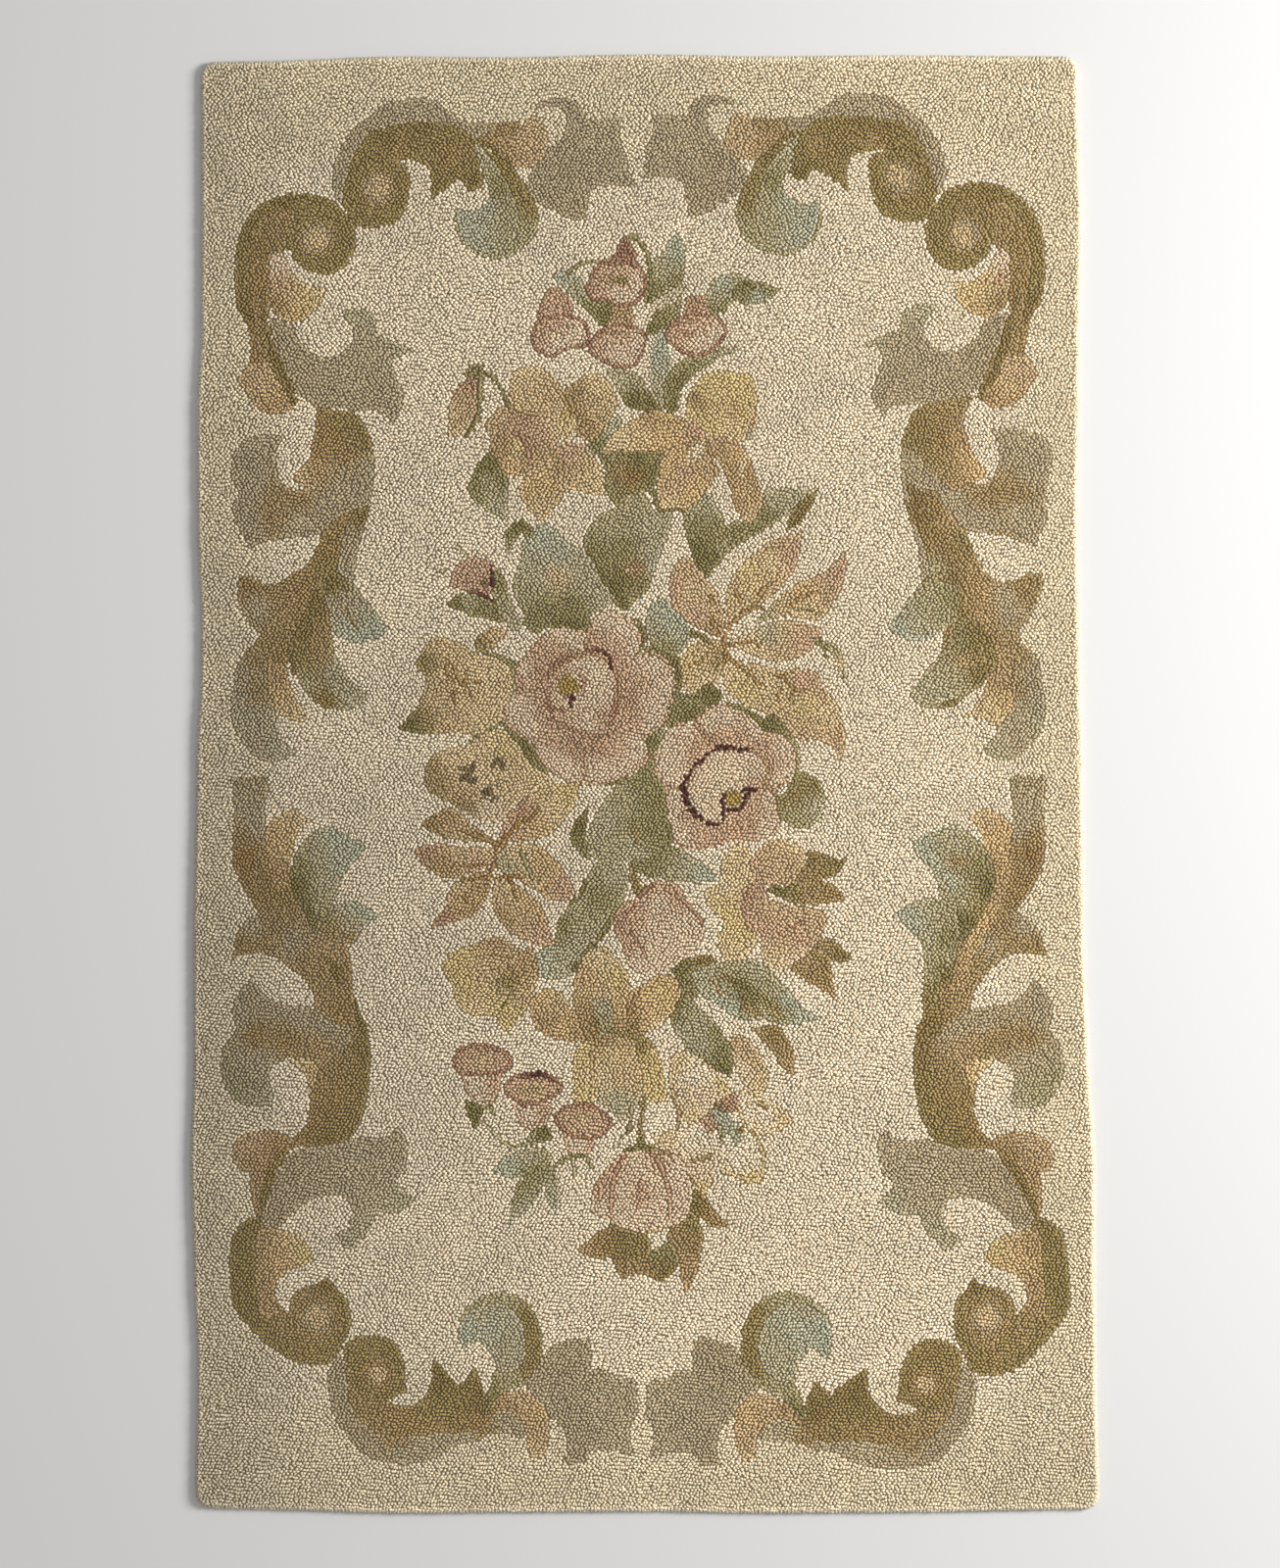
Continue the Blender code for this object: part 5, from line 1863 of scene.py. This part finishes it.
def loopPoints(name, which, angles, sizes, tones, settings):
    # Points that carry each loop's place, turn, size and dye
    mesh = bpy.data.meshes.new(name + "_points")
    mesh.vertices.add(len(which))
    feet = places[which] - normals[which] * settings["sink"] * toMetres
    mesh.vertices.foreach_set("co", feet.astype(np.float32).ravel())
    turn = mesh.attributes.new("turn", "FLOAT_VECTOR", "POINT")
    turn.data.foreach_set("vector", angles[which].astype(np.float32).ravel())
    size = mesh.attributes.new("size", "FLOAT_VECTOR", "POINT")
    size.data.foreach_set("vector", sizes[which].astype(np.float32).ravel())
    yarn = mesh.attributes.new("yarn", "FLOAT_COLOR", "POINT")
    colours = np.ones((len(which), 4), np.float32)
    colours[:, :3] = tones[which]
    yarn.data.foreach_set("color", colours.ravel())
    points = bpy.data.objects.new(name + "_points", mesh)
    bpy.context.collection.objects.link(points)
    return points


def makePlanter(loop):
    # Geometry Nodes: one loop on every point, then made real
    group = bpy.data.node_groups.new("plant_loops", "GeometryNodeTree")
    group.interface.new_socket("Geometry", in_out="INPUT", socket_type="NodeSocketGeometry")
    group.interface.new_socket("Geometry", in_out="OUTPUT", socket_type="NodeSocketGeometry")
    nodes = group.nodes
    start = nodes.new("NodeGroupInput")
    end = nodes.new("NodeGroupOutput")
    shape = nodes.new("GeometryNodeObjectInfo")
    shape.inputs["Object"].default_value = loop
    plant = nodes.new("GeometryNodeInstanceOnPoints")
    real = nodes.new("GeometryNodeRealizeInstances")
    fields = {}
    for name in ("turn", "size"):
        fields[name] = nodes.new("GeometryNodeInputNamedAttribute")
        fields[name].data_type = "FLOAT_VECTOR"
        fields[name].inputs["Name"].default_value = name
    link = group.links.new
    link(start.outputs[0], plant.inputs["Points"])
    link(shape.outputs["Geometry"], plant.inputs["Instance"])
    link(fields["turn"].outputs["Attribute"], plant.inputs["Rotation"])
    link(fields["size"].outputs["Attribute"], plant.inputs["Scale"])
    link(plant.outputs[0], real.inputs[0])
    link(real.outputs[0], end.inputs[0])
    return group


def unwrapFromAbove(mesh):
    # Own UV map seen from above; a loop's hidden foot takes no room in it
    count = len(mesh.loops)
    corners = np.zeros(count, np.int64)
    mesh.loops.foreach_get("vertex_index", corners)
    spots = np.zeros(len(mesh.vertices) * 3)
    mesh.vertices.foreach_get("co", spots)
    spots = spots.reshape(-1, 3)
    low = spots.min(0)
    high = spots.max(0)
    share = (spots[:, :2] - low[:2]) / (high[:2] - low[:2])
    lift = np.zeros(len(mesh.vertices))
    mesh.attributes["lift"].data.foreach_get("value", lift)
    uvs = share[corners]
    totals = np.zeros(len(mesh.polygons), np.int64)
    mesh.polygons.foreach_get("loop_total", totals)
    owner = np.repeat(np.arange(len(totals)), totals)
    raised = np.bincount(owner, weights=lift[corners]) > 0
    uvs[~raised[owner]] = 0.0005
    layer = mesh.uv_layers.new(name="OFBake")
    layer.data.foreach_set("uv", uvs.astype(np.float32).ravel())


def makeStrips(settings, material):
    # The pile in lengthwise strips of equal loop counts
    loop = makeLoop(settings)
    planter = makePlanter(loop)
    angles = loopTurns(settings)
    sizes = loopSizes(settings)
    tones = loopTones(settings)
    order = np.argsort(pile["x"])
    strips = []
    for number, which in enumerate(np.array_split(order, settings["strips"]), 1):
        name = "pile_strip_" + str(number)
        points = loopPoints(name, which, angles, sizes, tones, settings)
        modifier = points.modifiers.new("plant", "NODES")
        modifier.node_group = planter
        graph = bpy.context.evaluated_depsgraph_get()
        mesh = bpy.data.meshes.new_from_object(points.evaluated_get(graph), depsgraph=graph)
        mesh.name = name
        mesh.materials.clear()
        mesh.materials.append(material)
        unwrapFromAbove(mesh)
        strip = bpy.data.objects.new(name, mesh)
        bpy.context.collection.objects.link(strip)
        bpy.data.objects.remove(points)
        strips.append(strip)
        print(name, "faces:", len(mesh.polygons))
    bpy.data.objects.remove(loop)
    return strips


foundation = makeBacking(backingSettings, makeFoundation(clothSettings))
strips = makeStrips(pileSettings, makeYarn(yarnSettings))
for piece in [foundation] + strips:
    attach(piece, "root")
    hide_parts("hooked_rug")
print("pieces made")


# Floor, light and camera
floorSettings = {
    "reach": 7.0,
    "tone": (190, 189, 188),
}


def makeFloor(settings):
    bm = bmesh.new()
    bmesh.ops.create_grid(bm, x_segments=2, y_segments=2, size=settings["reach"] / 2)
    mesh = bpy.data.meshes.new("studio_floor")
    bm.to_mesh(mesh)
    bm.free()
    shader = Shader("floor_paper", {"Base Color": rgba(settings["tone"]), "Roughness": 0.95})
    mesh.materials.append(shader.material)
    floor = bpy.data.objects.new("studio_floor", mesh)
    bpy.context.collection.objects.link(floor)
    return floor


def makeLight(name, place, aim, power, size, tone):
    data = bpy.data.lights.new(name, "AREA")
    data.energy = power
    data.size = size
    data.color = tone
    light = bpy.data.objects.new(name, data)
    light.location = place
    light.rotation_euler = (Vector(aim) - Vector(place)).to_track_quat("-Z", "Y").to_euler()
    bpy.context.collection.objects.link(light)
    return light


lightSettings = {
    "keyPlace": (3.2, 0.6, 1.9),
    "keyAim": (0.1, 0.0, 0.0),
    "keyPower": 245.0,
    "keySize": 1.3,
    "keyTone": (1.0, 0.995, 0.985),
    "fill": 0.587,
    "fillTone": (0.99, 0.995, 1.0),
}

floor = makeFloor(floorSettings)
keyLight = makeLight(
    "key_light", lightSettings["keyPlace"], lightSettings["keyAim"], lightSettings["keyPower"],
    lightSettings["keySize"], lightSettings["keyTone"],
)
world = bpy.data.worlds.new("studio")
world.use_nodes = True
backdrop = world.node_tree.nodes["Background"]
backdrop.inputs["Color"].default_value = lightSettings["fillTone"] + (1.0,)
backdrop.inputs["Strength"].default_value = lightSettings["fill"]
bpy.context.scene.world = world

cameraSettings = {
    "height": 3.2,
    "shownLength": 1.616,  # metres of floor from the picture's top to its bottom
    "sideways": -0.006,
}
cameraData = bpy.data.cameras.new("photo_camera")
cameraData.sensor_width = 36.0
cameraData.lens = 36.0 * cameraSettings["height"] / cameraSettings["shownLength"]
camera = bpy.data.objects.new("photo_camera", cameraData)
camera.location = (cameraSettings["sideways"], 0.0, cameraSettings["height"])
bpy.context.collection.objects.link(camera)
bpy.context.scene.camera = camera
bpy.context.scene.view_settings.view_transform = "Standard"
print("floor, light and camera set")
